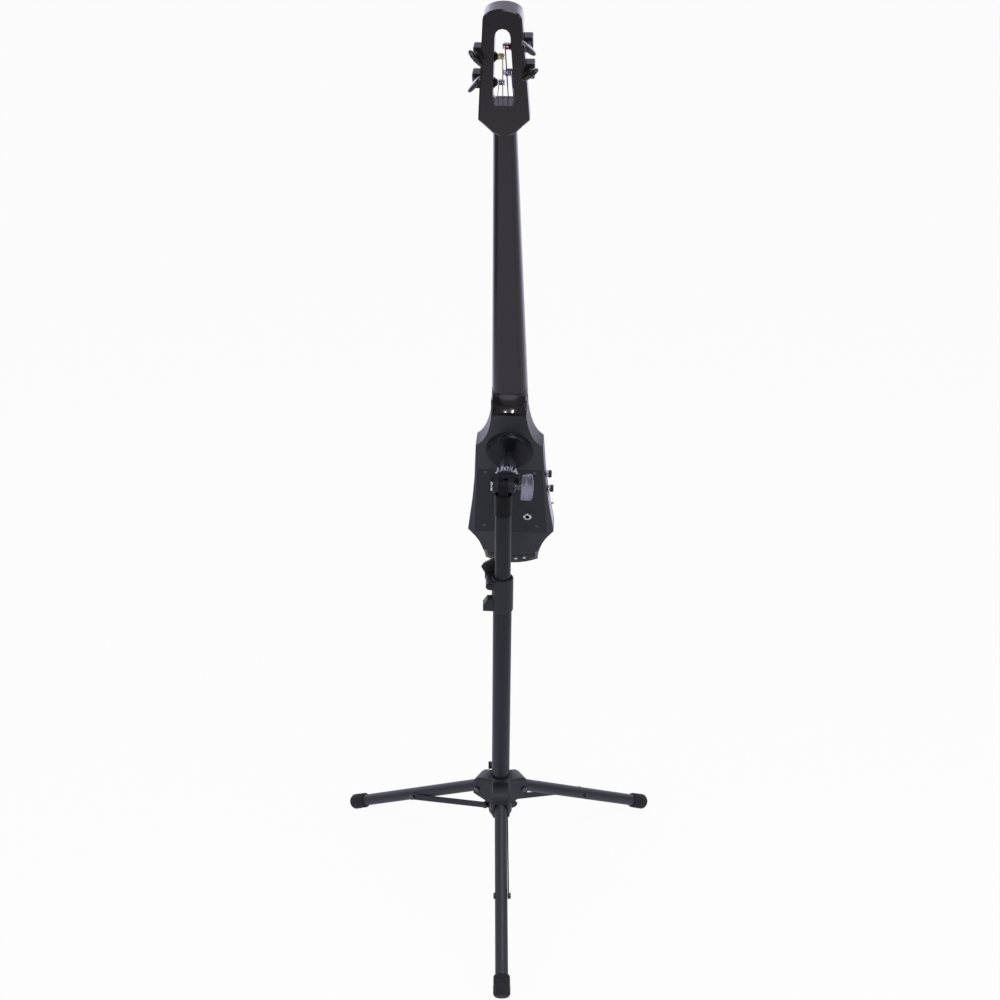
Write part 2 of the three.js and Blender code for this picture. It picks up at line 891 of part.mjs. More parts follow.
// The tilt handle: a curved paddle on the bolt that squeezes the cheeks on the tongue
const handleStart = cheekOuter + handleGap;
const paddleShares = [
  [0, -0.54],
  [0.82, -0.54],
  [0.94, -0.3],
  [1, -0.04],
  [0.98, 0.2],
  [0.88, 0.46],
  [0.2, 0.46],
  [0.03, 0.3],
];
const paddleOutline = paddleShares.map(([u, v]) => [handleStart + u * handleWidth, v * handleHeight]);
place(
  tilting,
  "tilt_handle",
  joined(
    prism("y", paddleOutline, -handleDepth / 2, handleDepth / 2, handleDepth / 8),
    rod("x", tiltBoltRadius, -cheekOuter - clearance, handleStart + handleWidth / 2, [0, 0, 0], coarseSides),
    rod(
      "x",
      tiltBoltHeadRadius,
      -cheekOuter - clearance - tiltBoltHeadLength,
      -cheekOuter - clearance,
      [0, 0, 0],
      coarseSides,
    ),
  ),
  brightSteel(),
);

// The stud, the lock nut on it and the round mounting disc on the instrument's back
const nutStart = studLength - studHubEnd - lockNutLength;
const toothAngles = Array.from({ length: lockNutTeeth }, (_, index) => (2 * Math.PI * index) / lockNutTeeth);
const nutOutline = toothAngles.flatMap((angle) => {
  const halfTooth = Math.PI / lockNutTeeth;
  const valley = lockNutRadius - lockNutGroove;
  const tooth = [lockNutRadius, lockNutRadius, valley, valley];
  return tooth.map((radius, index) => {
    const turn = angle + (index * halfTooth) / 2;
    return [radius * Math.cos(turn), radius * Math.sin(turn)];
  });
});
place(
  tilting,
  "lock_nut",
  cutBy(
    prism("y", nutOutline, nutStart + clearance, nutStart + lockNutLength - clearance),
    rod("y", studRadius + clearance, 0, studLength),
  ),
  brightSteel(),
).position.x = studOffset;
const spinning = new THREE.Group();
spinning.position.x = studOffset;
spinning.rotation.y = rollAngle;
tilting.add(spinning);
const discFace = studLength - clearance;
const studEnd = tongueRoomRadius + studInset;
place(
  spinning,
  "mount_stud",
  turned("y", [
    [0, studEnd],
    [studRadius, studEnd],
    [studRadius, studLength - studHubEnd],
    [studHubRadius, studLength - studHubEnd],
    [studHubRadius, studLength - studHubStart],
    [studRadius, studLength - studHubStart],
    [studRadius, discFace - discThickness - clearance],
    [0, discFace - discThickness - clearance],
  ]),
  castPaint(),
);
const discStep = discThickness / 3;
place(
  spinning,
  "mount_disc",
  turned("y", [
    [0, discFace - discThickness],
    [discRadius - discStep * 2, discFace - discThickness],
    [discRadius - discStep, discFace - discThickness + discStep],
    [discRadius - discStep, discFace - discStep],
    [discRadius, discFace - discStep],
    [discRadius, discFace],
    [0, discFace],
  ], [0, 0, 0], fineSides + coarseSides),
  blackPlastic(),
);

// The instrument's own frame: tail at z = 0, back at y = 0
const cello = new THREE.Group();
cello.position.set(0, studLength, -discStation);
spinning.add(cello);

const nutStation = bridgeStation + stringLength;
const headTop = nutStation + headTopRise;
const headFlareStation = nutStation - headFlareDrop;
const headPointStation = nutStation - headPointDrop;
const slotBottom = nutStation + slotBottomRise;
const slotTop = nutStation + slotTopRise;
const lowPostStation = nutStation + lowPostRise;
const mix = (from, to, share) => from + (to - from) * share;

// Points on a bowed stretch from one corner to the next, its bow pulled to a third point
function bow(start, pull, end, steps) {
  return Array.from({ length: steps }, (_, step) => {
    const share = step / steps;
    const along = (a, b, c) => (1 - share) ** 2 * a + 2 * share * (1 - share) * b + share ** 2 * c;
    return [along(start[0], pull[0], end[0]), along(start[1], pull[1], end[1])];
  });
}

// The value that a table of rising pairs gives, between the two nearest of them
function lookUp(pairs, key) {
  const above = pairs.findIndex(([place]) => place >= key);
  if (above < 1) return pairs[above === 0 ? 0 : pairs.length - 1][1];
  const [from, to] = [pairs[above - 1], pairs[above]];
  return mix(from[1], to[1], (key - from[0]) / (to[0] - from[0]));
}

// The curve of the scoop between tail and lower corner, and that of the flank above it
const scoopShares = [
  [0, 0],
  [0.01, 0.16],
  [0.04, 0.33],
  [0.14, 0.51],
  [0.34, 0.7],
  [0.59, 0.85],
  [0.81, 0.94],
  [1, 1],
];
const flankShares = [[1, 0], [0.92, 0.06], [0.6, 0.28], [0.43, 0.42], [0.22, 0.63], [0.07, 0.9], [0, 1]];
const scoopBase = tailStation + tailRise;
const scoop = scoopShares.map(([u, v]) => [
  mix(scoopBase, lowerCornerStation, v),
  mix(tailHalfWidth, lowerHalfWidth, u),
]);
const flank = flankShares.map(([u, v]) => [
  mix(lowerCornerStation, shoulderStation, v),
  mix(shoulderHalfWidth, lowerHalfWidth, u),
]);
const flankAt = (station) => lookUp(flank, station);

// One half of the body's outline at a depth, mirrored to close it
const shoulderPullShares = [0.2, 0.21];
const archShares = [[1, 0], [0.94, 0.22], [0.78, 0.56], [0.5, 0.87], [0.22, 0.98], [0, 1]];
const squareShares = [[1, 0], [1, 0.5], [1, 1], [0.6, 1], [0.3, 1], [0, 1]];
function bodyOutline({ y, flankInset, frontInset }) {
  const tail = mix(tailChamferTop, tailStation, Math.min(y / tailChamferDepth, 1)) + frontInset;
  const low = tail + tailRise;
  const cornerX = lowerHalfWidth - flankInset - frontInset;
  const high = flankInset > 0 ? lookUp(scoop.map(([z, x]) => [x, z]), cornerX) : lowerCornerStation;
  const scoopX = (station) => lookUp(scoop, station) - frontInset;
  const heelRise = y / bodyDepth;
  const heel = [archHalfWidth, mix(archBase, heelBase, heelRise)];
  const square = Math.min(y / neckBackAtHeel, 1);
  const top = mix(archTop, bodyLength, square);
  const shoulder = [shoulderHalfWidth - frontInset, shoulderStation];
  const half = [
    ...bow([0, tail], [scoopX(low) / 2, tail], [scoopX(low), low], 4),
    ...scoopShares.slice(0, -1).map(([, v]) => [scoopX(mix(low, high, v)), mix(low, high, v)]),
    ...flank.slice(0, -1).map(([station, x], index) => [
      index === 0 ? cornerX : x - frontInset - flankInset * (1 - flankShares[index][1]),
      index === 0 ? high : station,
    ]),
    ...bow(
      shoulder,
      [mix(heel[0], shoulder[0], shoulderPullShares[0]), mix(shoulder[1], heel[1], shoulderPullShares[1])],
      heel,
      8,
    ),
    ...archShares.map(([u, v], index) => [
      heel[0] * mix(u, squareShares[index][0], square),
      mix(heel[1], top, mix(v, squareShares[index][1], square)),
    ]),
  ];
  const mirrored = half.slice(1, -1).reverse().map(([x, z]) => [-x, z]);
  return [...half, ...mirrored];
}
const bodyLevels = [
  { y: 0, flankInset: flankBevelWidth, frontInset: 0 },
  { y: flankBevelDepth, flankInset: 0, frontInset: 0 },
  { y: neckBackAtHeel, flankInset: 0, frontInset: 0 },
  { y: tailChamferDepth, flankInset: 0, frontInset: 0 },
  { y: bodyDepth - frontBevelDepth, flankInset: 0, frontInset: 0 },
  { y: bodyDepth, flankInset: 0, frontInset: frontBevelWidth },
];
const bodyRings = bodyLevels.map((level) =>
  bodyOutline(level).map(([x, z]) => new THREE.Vector3(x, level.y, z)),
);
const bodyBlank = loft(bodyRings, (point) => new THREE.Vector2(point.x, point.z));

// The bay for the electrics, its recessed cover and the cover's screw places
const coverOutline = (grow) => [
  [-coverBottomHalfWidth - grow, coverBottom - grow],
  [coverBottomHalfWidth + grow, coverBottom - grow],
  [coverTopHalfWidth + grow, coverTop + grow],
  [-coverTopHalfWidth - grow, coverTop + grow],
];
const bay = block([-bayHalfWidth, bayHalfWidth], [0, bayDepth], [bayBottom, bayTop]);
const coverRecess = prism("y", coverOutline(clearance), -overrun, coverThickness + clearance);
const screwPlaces = [-1, 1].flatMap((side) => [
  [side * coverScrewHalfSpan, coverBottom + coverScrewRise],
  [side * (coverTopHalfWidth - coverScrewTopInset), coverTop - coverScrewTopDrop],
]);
const pilots = screwPlaces.map(([x, z]) =>
  rod("y", pilotRadius, 0, pilotDepth, [x, 0, z], coarseSides),
);

// The seat of the side plate: a flat cut into the right flank
const plateMiddle = (sidePlateBottom + sidePlateTop) / 2;
const plateLean = Math.atan2(
  flankAt(sidePlateBottom) - flankAt(sidePlateTop),
  sidePlateTop - sidePlateBottom,
);
const plateX = (flankAt(sidePlateBottom) + flankAt(sidePlateTop)) / 2 - plateSink;
const plateHalfLength = (sidePlateTop - sidePlateBottom) / 2 / Math.cos(plateLean);
const onPlate = (solid) =>
  solid
    .rotate([0, -THREE.MathUtils.radToDeg(plateLean), 0])
    .translate([plateX, knobDepth, plateMiddle]);
const plateSeat = onPlate(
  block(
    [0, sidePlateWidth],
    [-sidePlateWidth / 2 - clearance, sidePlateWidth / 2 + clearance],
    [-plateHalfLength - clearance, plateHalfLength + clearance],
  ),
);
const togglePlace = (toggleStation - plateMiddle) / Math.cos(plateLean);
const switchPocket = onPlate(
  rod("x", switchRadius + clearance, -switchDepth - clearance, overrun, [0, 0, togglePlace], coarseSides),
);
const knobStations = { volume_knob: volumeStation, tone_knob: toneStation };
const shaftBores = Object.values(knobStations).map((station) =>
  rod("x", shaftRadius + clearance, 0, lowerHalfWidth, [0, knobDepth, station], coarseSides),
);

// The pocket of the tail anchor, between the chamfer behind and the front face
const chamferHeight = tailChamferTop - tailStation;
const chamferPoint = (share) => [tailChamferDepth * share, tailChamferTop - chamferHeight * share];
const chamferRun = Math.hypot(tailChamferDepth, chamferHeight);
const proudBy = ([y, z], reach) => [
  y - (reach * chamferHeight) / chamferRun,
  z - (reach * tailChamferDepth) / chamferRun,
];
const anchorUpperShare = 0.1;
const anchorLowerShare = 0.66;
function anchorProfile(grow) {
  const upper = proudBy(chamferPoint(anchorUpperShare), anchorProud);
  const lower = proudBy(chamferPoint(anchorLowerShare), anchorProud);
  const front = bodyDepth + anchorRise;
  return [
    [upper[0] - grow, upper[1] + grow],
    [lower[0] - grow, lower[1] - grow],
    [front, lower[1] - grow],
    [front, anchorFrontTop + grow],
    [anchorTopDepth, upper[1] + grow],
  ];
}
// Its section is carried across the tail along the tail's own curve
const anchorSectionShares = [-1, -0.75, -0.5, -0.25, 0, 0.25, 0.5, 0.75, 1];
const tailArc = (x) => tailRise * (x / tailHalfWidth) ** 2;
const anchorBlock = (grow) =>
  loft(
    anchorSectionShares.map((share) => {
      const x = share * anchorHalfWidth;
      const end = Math.abs(share) === 1 ? share * grow : 0;
      return anchorProfile(grow).map(([y, z]) => new THREE.Vector3(x + end, y, z + tailArc(x)));
    }),
    (point) => new THREE.Vector2(point.y, point.z),
  );
const anchorPocket = anchorBlock(clearance);

// The neck's tenon and its mortise in the body
const heelStation = bodyLength + clearance;
const tenonBack = neckBackAtHeel + tenonInset;
const tenon = (grow) =>
  block(
    [-tenonHalfWidth - grow, tenonHalfWidth + grow],
    [tenonBack - grow, tenonFront + grow],
    [heelStation - tenonLength - grow, heelStation + overrun],
  );

place(
  cello,
  "body",
  cutBy(
    bodyBlank,
    tenon(clearance),
    coverRecess,
    bay,
    ...pilots,
    plateSeat,
    switchPocket,
    ...shaftBores,
    anchorPocket,
  ),
  bodyLacquer(),
);

// The neck: a D section that tapers from the heel to the nut, with a flat along its back
const alongNeck = (station) => (station - heelStation) / (nutStation - heelStation);
const neckFront = (station) => mix(neckFrontAtHeel, neckFrontAtNut, alongNeck(station));
const neckBack = (station) => mix(neckBackAtHeel, neckBackAtNut, alongNeck(station));
const neckHalf = (station) => mix(neckJoinHalfWidth, nutHalfWidth, alongNeck(station));
const neckSectionShares = [[1, 0], [1, 0.3], [0.94, 0.6], [0.8, 0.83], [0.6, 0.96], [0.42, 1]];
const neckStationShares = [0, 0.02, 0.25, 0.5, 0.75, 1];
const neckRings = neckStationShares.map((share) => {
  const station = mix(heelStation, nutStation - nutThickness, share);
  const half = neckSectionShares.map(([u, v]) => [
    u * neckHalf(station),
    mix(neckFront(station), neckBack(station), v),
  ]);
  const ring = [...half, ...half.slice().reverse().map(([x, y]) => [-x, y])];
  return ring.map(([x, y]) => new THREE.Vector3(x, y, station));
});
const neckShaft = loft(neckRings, (point) => new THREE.Vector2(point.x, point.y));

// The head: a flared plate with an open slot for the strings and a curled top
const headTipShares = [[0, 0], [0.44, 0.28], [0.73, 0.67]];
const headShoulder = headTop - headTopDrop;
const topArc = Array.from({ length: 6 }, (_, index) => {
  const turn = (index * Math.PI) / 12;
  return [headTopHalfWidth * Math.cos(turn), headShoulder + headTopDrop * Math.sin(turn)];
});
const headHalfOutline = [
  ...headTipShares.map(([u, v]) => [
    u * headFlareHalfWidth,
    mix(headPointStation, headFlareStation, v),
  ]),
  [headFlareHalfWidth, headFlareStation],
  ...topArc,
];
const mirroredHead = headHalfOutline.slice(1).reverse().map(([x, z]) => [-x, z]);
const headOutline = [...headHalfOutline, [0, headTop], ...mirroredHead];
const headSide = (station) =>
  mix(
    headFlareHalfWidth,
    headTopHalfWidth,
    (station - headFlareStation) / (headShoulder - headFlareStation),
  );
const headPlate = prism("y", headOutline, 0, headDepth, headBevel);
const curlBase = headTop - headCurlHeight;
const curlProfile = [
  [headDepth / 2, curlBase],
  [headDepth, curlBase],
  [headCurlDepth, curlBase + headCurlHeight / 3],
  [headCurlDepth, headTop + overrun],
  [headDepth / 2, headTop + overrun],
];
const headCurl = crossed(
  prism("x", curlProfile, -headFlareHalfWidth, headFlareHalfWidth),
  prism("y", headOutline, 0, headCurlDepth, headBevel),
);
const slotSide = (station) =>
  mix(
    slotBottomHalfWidth,
    slotTopHalfWidth,
    (station - slotBottom - slotCorner * 2) / (slotTop - slotTopHalfWidth - slotBottom - slotCorner * 2),
  );
const slotHalfOutline = [
  [slotBottomHalfWidth - slotCorner, slotBottom],
  [slotBottomHalfWidth, slotBottom + slotCorner * 2],
  [slotTopHalfWidth, slotTop - slotTopHalfWidth],
  [slotTopHalfWidth * Math.cos(Math.PI / 6), slotTop - slotTopHalfWidth / 2],
  [slotTopHalfWidth / 2, slotTop - slotTopHalfWidth * (1 - Math.cos(Math.PI / 6))],
  [0, slotTop],
];
const slotOutline = [
  ...slotHalfOutline,
  ...slotHalfOutline.slice(0, -1).reverse().map(([x, z]) => [-x, z]),
];
const headSlot = prism("y", slotOutline, -overrun, headDepth + overrun);

// The four tuners: each turns a post by a worm, the low pair on each side first
const tuners = {
  a: { side: -1, station: lowPostStation, keyTurn: 49, nutPlace: -1.5, inward: true },
  d: { side: -1, station: lowPostStation + postPitch, keyTurn: -49, nutPlace: -0.5, inward: false },
  g: {
    side: 1,
    station: lowPostStation + postStagger + postPitch,
    keyTurn: -41,
    nutPlace: 0.5,
    inward: false,
  },
  c: { side: 1, station: lowPostStation + postStagger, keyTurn: 35, nutPlace: 1.5, inward: true },
};
const postAt = (tuner) => [0, postDepth, tuner.station];
const acrossSide = (tuner, from, to) => (tuner.side > 0 ? [from, to] : [-to, -from]);
const sideRod = (tuner, radius, from, to, at, sides) =>
  rod("x", radius, ...acrossSide(tuner, from, to), at, sides);
const postBosses = Object.values(tuners).map((tuner) => {
  const wall = slotSide(tuner.station);
  return sideRod(tuner, postBossRadius, wall - postBossLength, wall + overrun, postAt(tuner), coarseSides);
});
const postHoles = Object.values(tuners).map((tuner) =>
  sideRod(tuner, postRadius + clearance, 0, headFlareHalfWidth * 2, postAt(tuner), coarseSides),
);
place(
  cello,
  "neck",
  cutBy(
    joined(neckShaft, tenon(0), cutBy(joined(headPlate, headCurl), headSlot), ...postBosses),
    ...postHoles,
  ),
  neckLacquer(),
);

const housingRiseShare = 0.705;
const housingBackShare = 0.35;
const gearFrom = gearLift;
const gearMiddle = gearFrom + gearThickness / 2;
const housingAbove = housingHeight * housingRiseShare;
const housingBack = postDepth - housingDepth * housingBackShare;
const wormLift = gearRadius + wormRadius + clearance;
const wormEnd = postDepth + housingDepth / 3;
for (const [note, tuner] of Object.entries(tuners)) {
  const face = headSide(tuner.station);
  const keyX = tuner.side * (face + gearMiddle);
  const keyZ = tuner.station + wormLift;
  const housingOutline = [
    [housingBack, tuner.station + housingAbove - housingHeight],
    [housingBack + housingDepth, tuner.station + housingAbove - housingHeight],
    [housingBack + housingDepth, tuner.station + housingAbove],
    [housingBack, tuner.station + housingAbove],
  ];
  const [from, to] = acrossSide(tuner, face - gearThickness, face + housingThickness);
  const [roomFrom, roomTo] = [face + gearFrom - clearance, face + housingThickness + overrun];
  place(
    cello,
    "tuner_housing_" + note,
    cutBy(
      prism("x", housingOutline, from, to, headBevel / 2),
      headPlate,
      headPlate.translate([tuner.side * clearance, 0, 0]),
      sideRod(tuner, gearRadius + clearance, roomFrom, roomTo, postAt(tuner), coarseSides),
      sideRod(tuner, postRadius + clearance, 0, roomTo, postAt(tuner), coarseSides),
      rod("y", wormRadius + clearance, housingBack - overrun, wormEnd, [keyX, 0, keyZ], coarseSides),
    ),
    castPaint(),
  );
  const postEnd = face + gearFrom + gearThickness;
  place(
    cello,
    "tuner_post_" + note,
    joined(
      sideRod(tuner, postRadius, -postTip, postEnd, postAt(tuner), coarseSides),
      sideRod(tuner, postCollarRadius, -postTip, postCollarLength - postTip, postAt(tuner), coarseSides),
      sideRod(tuner, gearRadius, face + gearFrom, postEnd, postAt(tuner), coarseSides),
    ),
    brightSteel(),
  );
  const key = new THREE.Group();
  key.position.set(keyX, housingBack, keyZ);
  cello.add(key);
  const paddle = Array.from({ length: coarseSides }, (_, index) => {
    const turn = (2 * Math.PI * index) / coarseSides;
    return [
      (keyLength / 2) * Math.cos(turn),
      (keyWidth / 2) * Math.sin(turn) - keyShaftLength - keyWidth / 2 + keyOverlap,
    ];
  });
  place(
    key,
    "tuner_key_" + note,
    joined(
      prism("z", paddle, -keyThickness / 2, keyThickness / 2, keyThickness / 4)
        .rotate([0, -tuner.keyTurn, 0]),
      rod(
        "y",
        wormRadius,
        -keyShaftLength - keyOverlap,
        wormEnd - housingBack - clearance,
        [0, 0, 0],
        coarseSides,
      ),
      rod("y", keyCollarRadius, -keyShaftLength, -clearance, [0, 0, 0], coarseSides),
    ),
    keyGloss(),
  );
}

// The fingerboard, the nut at its head end and the arched bridge on its pickup
const boardHead = nutStation - nutThickness - clearance;
const boardTail = bridgeStation + boardTailGap;
const boardStationShares = [0, 1];
const crownShares = [1, 0.75, 0.5, 0.25, 0, -0.25, -0.5, -0.75, -1];
const boardRings = boardStationShares.map((share) => {
  const station = mix(boardTail, boardHead, share);
  const half = mix(boardHalfWidthAtEnd, nutHalfWidth - clearance * 2, share);
  const under = neckFront(station) + clearance;
  const crown = crownShares.map((u) => [u * half, under + boardEdge + boardCrown * (1 - u * u)]);
  const ring = [[-half, under], [half, under], ...crown];
  return ring.map(([x, y]) => new THREE.Vector3(x, y, station));
});
place(
  cello,
  "fingerboard",
  loft(boardRings, (point) => new THREE.Vector2(point.x, point.y)),
  ebony(),
);

const nutSeat = neckFrontAtNut + clearance;
const nutTopAt = (x) => nutSeat + nutRise - nutArch * (x / nutHalfWidth) ** 2;
const nutHalf = nutHalfWidth - clearance * 2;
const nutOutlineUp = [
  [-nutHalf, nutSeat],
  [nutHalf, nutSeat],
  ...crownShares.map((u) => [u * nutHalf, nutTopAt(u * nutHalf)]),
];
const pickupBase = bodyDepth + clearance;
const bridgeBase = pickupBase + pickupHeight + clearance;
const bridgeTop = bridgeBase + bridgeHeight;
const bridgeTopAt = (x) => bridgeTop - bridgeArch * (x / bridgeTopHalfWidth) ** 2;

const anchorFront = bodyDepth + anchorRise;
const holeStation = (share) => anchorHoleStation + anchorHoleRise * (share / 1.5) ** 2;
const ballDepth = (share) => {
  const fall = tailChamferTop + tailArc(share * tailSpacing) - holeStation(share);
  return (tailChamferDepth * fall) / chamferHeight;
};
const stringPlaces = { a: -1.5, d: -0.5, g: 0.5, c: 1.5 };
// Each string: its ball end, its run over bridge and nut, and its turns on the post
function stringPath(note) {
  const tuner = tuners[note];
  const radius = stringRadii[note];
  const share = stringPlaces[note];
  const tail = [share * tailSpacing, holeStation(share)];
  const overBridge = new THREE.Vector3(
    share * bridgeSpacing,
    bridgeTopAt(share * bridgeSpacing) + clearance + radius,
    bridgeStation,
  );
  const overNut = new THREE.Vector3(
    share * nutSpacing,
    nutTopAt(share * nutSpacing) + clearance + radius,
    nutStation - nutThickness / 2,
  );
  const points = [new THREE.Vector3(tail[0], ballDepth(share) + ballLength / 2, tail[1])];
  const bendStart = anchorFront + clearance;
  const bendTotal = Math.atan2(bridgeStation - tail[1] - bendRadius, overBridge.y - bendStart - bendRadius);
  for (let step = 0; step <= 4; step += 1) {
    const turn = (bendTotal * step) / 4;
    points.push(
      new THREE.Vector3(
        tail[0],
        bendStart + bendRadius * Math.sin(turn),
        tail[1] + bendRadius * (1 - Math.cos(turn)),
      ),
    );
  }
  points.push(overBridge, overNut);

  const coil = postRadius + clearance + radius;
  const pitch = 2 * radius + windingGap;
  const nearTip = postCollarLength - postTip + clearance + radius;
  const farEnd = nearTip + windingTurns * pitch;
  const [first, last] = tuner.inward ? [farEnd, nearTip] : [nearTip, farEnd];
  const away = [overNut.y - postDepth, overNut.z - tuner.station];
  const arrival = Math.atan2(away[1], away[0]) + Math.acos(coil / Math.hypot(...away));
  const steps = windingTurns * turnSteps;
  for (let step = 0; step <= steps; step += 1) {
    const turn = arrival + (step / turnSteps) * 2 * Math.PI;
    points.push(
      new THREE.Vector3(
        tuner.side * mix(first, last, step / steps),
        postDepth + coil * Math.cos(turn),
        tuner.station + coil * Math.sin(turn),
      ),
    );
  }
  return { points, radius, runs: points.length - steps - 1 };
}

// The grooves that the strings lie in, in the nut and in the bridge
const stringGrooves = Object.keys(tuners).map((note) => {
  const path = stringPath(note);
  const run = path.points.slice(path.runs - 3, path.runs + 1);
  return sweep(run, path.radius + grooveRoom, 8);
});
place(
  cello,
  "nut",
  cutBy(
    prism("z", nutOutlineUp, nutStation - nutThickness, nutStation - clearance),
    ...stringGrooves,
  ),
  ebony(),
);

const bridgeSideShares = [[1, 0], [1, 0.12], [0.84, 0.34], [0.78, 0.62]];
const bridgeSides = bridgeSideShares.map(([u, v]) => [
  u * bridgeHalfWidth,
  bridgeBase + v * bridgeHeight,
]);
const bridgeOutline = [
  ...bridgeSides,
  ...crownShares.map((u) => [u * bridgeTopHalfWidth, bridgeTopAt(u * bridgeTopHalfWidth)]),
  ...bridgeSides.slice().reverse().map(([x, y]) => [-x, y]),
  [-bridgeFootGap, bridgeBase],
  [-bridgeArchHalf, bridgeBase + bridgeFootHeight],
  [bridgeArchHalf, bridgeBase + bridgeFootHeight],
  [bridgeFootGap, bridgeBase],
];
const bridgeTaper = [
  [bridgeBase - overrun, bridgeStation - bridgeThickness / 2],
  [bridgeTop + overrun, bridgeStation - bridgeTopThickness / 2],
  [bridgeTop + overrun, bridgeStation + bridgeTopThickness / 2],
  [bridgeBase - overrun, bridgeStation + bridgeThickness / 2],
];
place(
  cello,
  "bridge",
  cutBy(
    crossed(
      prism("z", bridgeOutline, bridgeStation - bridgeThickness / 2, bridgeStation + bridgeThickness / 2),
      prism("x", bridgeTaper, -bridgeHalfWidth * 2, bridgeHalfWidth * 2),
    ),
    ...stringGrooves,
    rod(
      "z",
      bridgeWindow,
      bridgeStation - bridgeThickness,
      bridgeStation + bridgeThickness,
      [0, bridgeBase + bridgeHeight / 2, 0],
      coarseSides,
    ),
  ),
  maple(),
);
place(
  cello,
  "pickup",
  block(
    [-pickupHalfWidth, pickupHalfWidth],
    [pickupBase, pickupBase + pickupHeight],
    [bridgeStation - pickupWidth / 2, bridgeStation + pickupWidth / 2],
  ),
  brightSteel(),
);

// The tail anchor: the strings pass through it and their ball ends lodge in its back
const anchorHoles = Object.values(stringPlaces).flatMap((share) => {
  const at = [share * tailSpacing, 0, holeStation(share)];
  const ballEnd = ballDepth(share) + ballLength;
  return [
    rod("y", anchorHoleRadius, -overrun, anchorFront + overrun, at, coarseSides),
    rod("y", ballSeatRadius, -overrun, ballEnd + clearance, at, coarseSides),
  ];
});
place(
  cello,
  "tail_anchor",
  cutBy(anchorBlock(0), ...anchorHoles),
  blackPlastic(),
);

// The four strings, with their ball ends
// The least distance between a winding's skin and any other stretch of the same string
function leastGap({ points, radius, runs }) {
  let least = Infinity;
  for (let here = runs; here < points.length; here += 1) {
    for (let there = runs; there <= here - turnSteps / 2; there += 1) {
      least = Math.min(least, points[here].distanceTo(points[there]) - 2 * radius);
    }
    const run = new THREE.Line3(points[runs - 1], points[runs]);
    if (here >= runs + turnSteps / 2) {
      const nearest = run.closestPointToPoint(points[here], true, new THREE.Vector3());
      least = Math.min(least, points[here].distanceTo(nearest) - 2 * radius);
    }
  }
  return least;
}
for (const note of Object.keys(tuners)) {
  const path = stringPath(note);
  const share = stringPlaces[note];
  const ball = rod(
    "y",
    ballRadius,
    ballDepth(share),
    ballDepth(share) + ballLength,
    [share * tailSpacing, 0, holeStation(share)],
    coarseSides,
  );
  place(cello, "string_" + note, joined(sweep(path.points, path.radius, 6), ball), brightSteel());
  console.log("string_" + note + " least gap to itself, mm:", leastGap(path).toFixed(2));
}

// The electrics: cover, jack, controls and the small board that they are wired to
const jackAt = [jackOffset, 0, jackStation];
place(
  cello,
  "control_cover",
  cutBy(
    prism("y", coverOutline(0), 0, coverThickness),
    rod("y", jackBarrelRadius + clearance, -overrun, overrun, jackAt, coarseSides),
    ...screwPlaces.map(([x, z]) => rod("y", coverScrewRadius, -overrun, overrun, [x, 0, z], coarseSides)),
  ),
  blackPlastic(),
);
place(
  cello,
  "output_jack",
  turned("y", [
    [jackBore, -clearance - jackProud],
    [jackFlangeRadius - jackProud / 2, -clearance - jackProud],
    [jackFlangeRadius, -clearance - jackProud / 2],
    [jackFlangeRadius, -clearance],
    [jackBarrelRadius, -clearance],
    [jackBarrelRadius, jackLength],
    [0, jackLength],
    [0, jackLength - jackProud],
    [jackBore, jackLength - jackProud],
    [jackBore, -clearance - jackProud],
  ], jackAt),
  brightSteel(),
);
for (const [name, station] of Object.entries(knobStations)) {
  const start = flankAt(station) + knobLift;
  const knob = turned("x", [
    [0, 0],
    [knobRadius, 0],
    [knobRadius, knobLength - knobLift],
    [knobRadius - knobLift, knobLength],
    [0, knobLength],
  ]);
  const bore = rod("x", shaftRadius + clearance, -overrun, knobLength - knobLift * 2, [0, 0, 0], coarseSides);
  place(cello, name, cutBy(knob, bore), blackPlastic()).position.set(start, knobDepth, station);
}
const potEnd = bayHalfWidth - clearance;
const potStart = potEnd - potLength;
const pots = Object.values(knobStations).flatMap((station) => {
  const shaftEnd = flankAt(station) + knobLength - knobLift * 2;
  const at = [0, knobDepth, station];
  return [
    rod("x", potRadius, potStart, potEnd, at, coarseSides),
    rod("x", shaftRadius, potStart, shaftEnd, at, coarseSides),
  ];
});
const boardHalf = sidePlateWidth / 2;
const switchHalf = switchLength / 2;
place(
  cello,
  "control_board",
  joined(
    block(
      [potStart - boardThickness, potStart],
      [knobDepth - boardHalf, knobDepth + boardHalf / 2],
      [toggleStation - switchHalf, bayTop - clearance * 2],
    ),
    block(
      [potStart - clearance, potEnd],
      [knobDepth - switchHalf, knobDepth + switchHalf],
      [toggleStation - switchHalf, toggleStation + switchHalf],
    ),
    ...pots,
  ),
  boardGreen(),
);

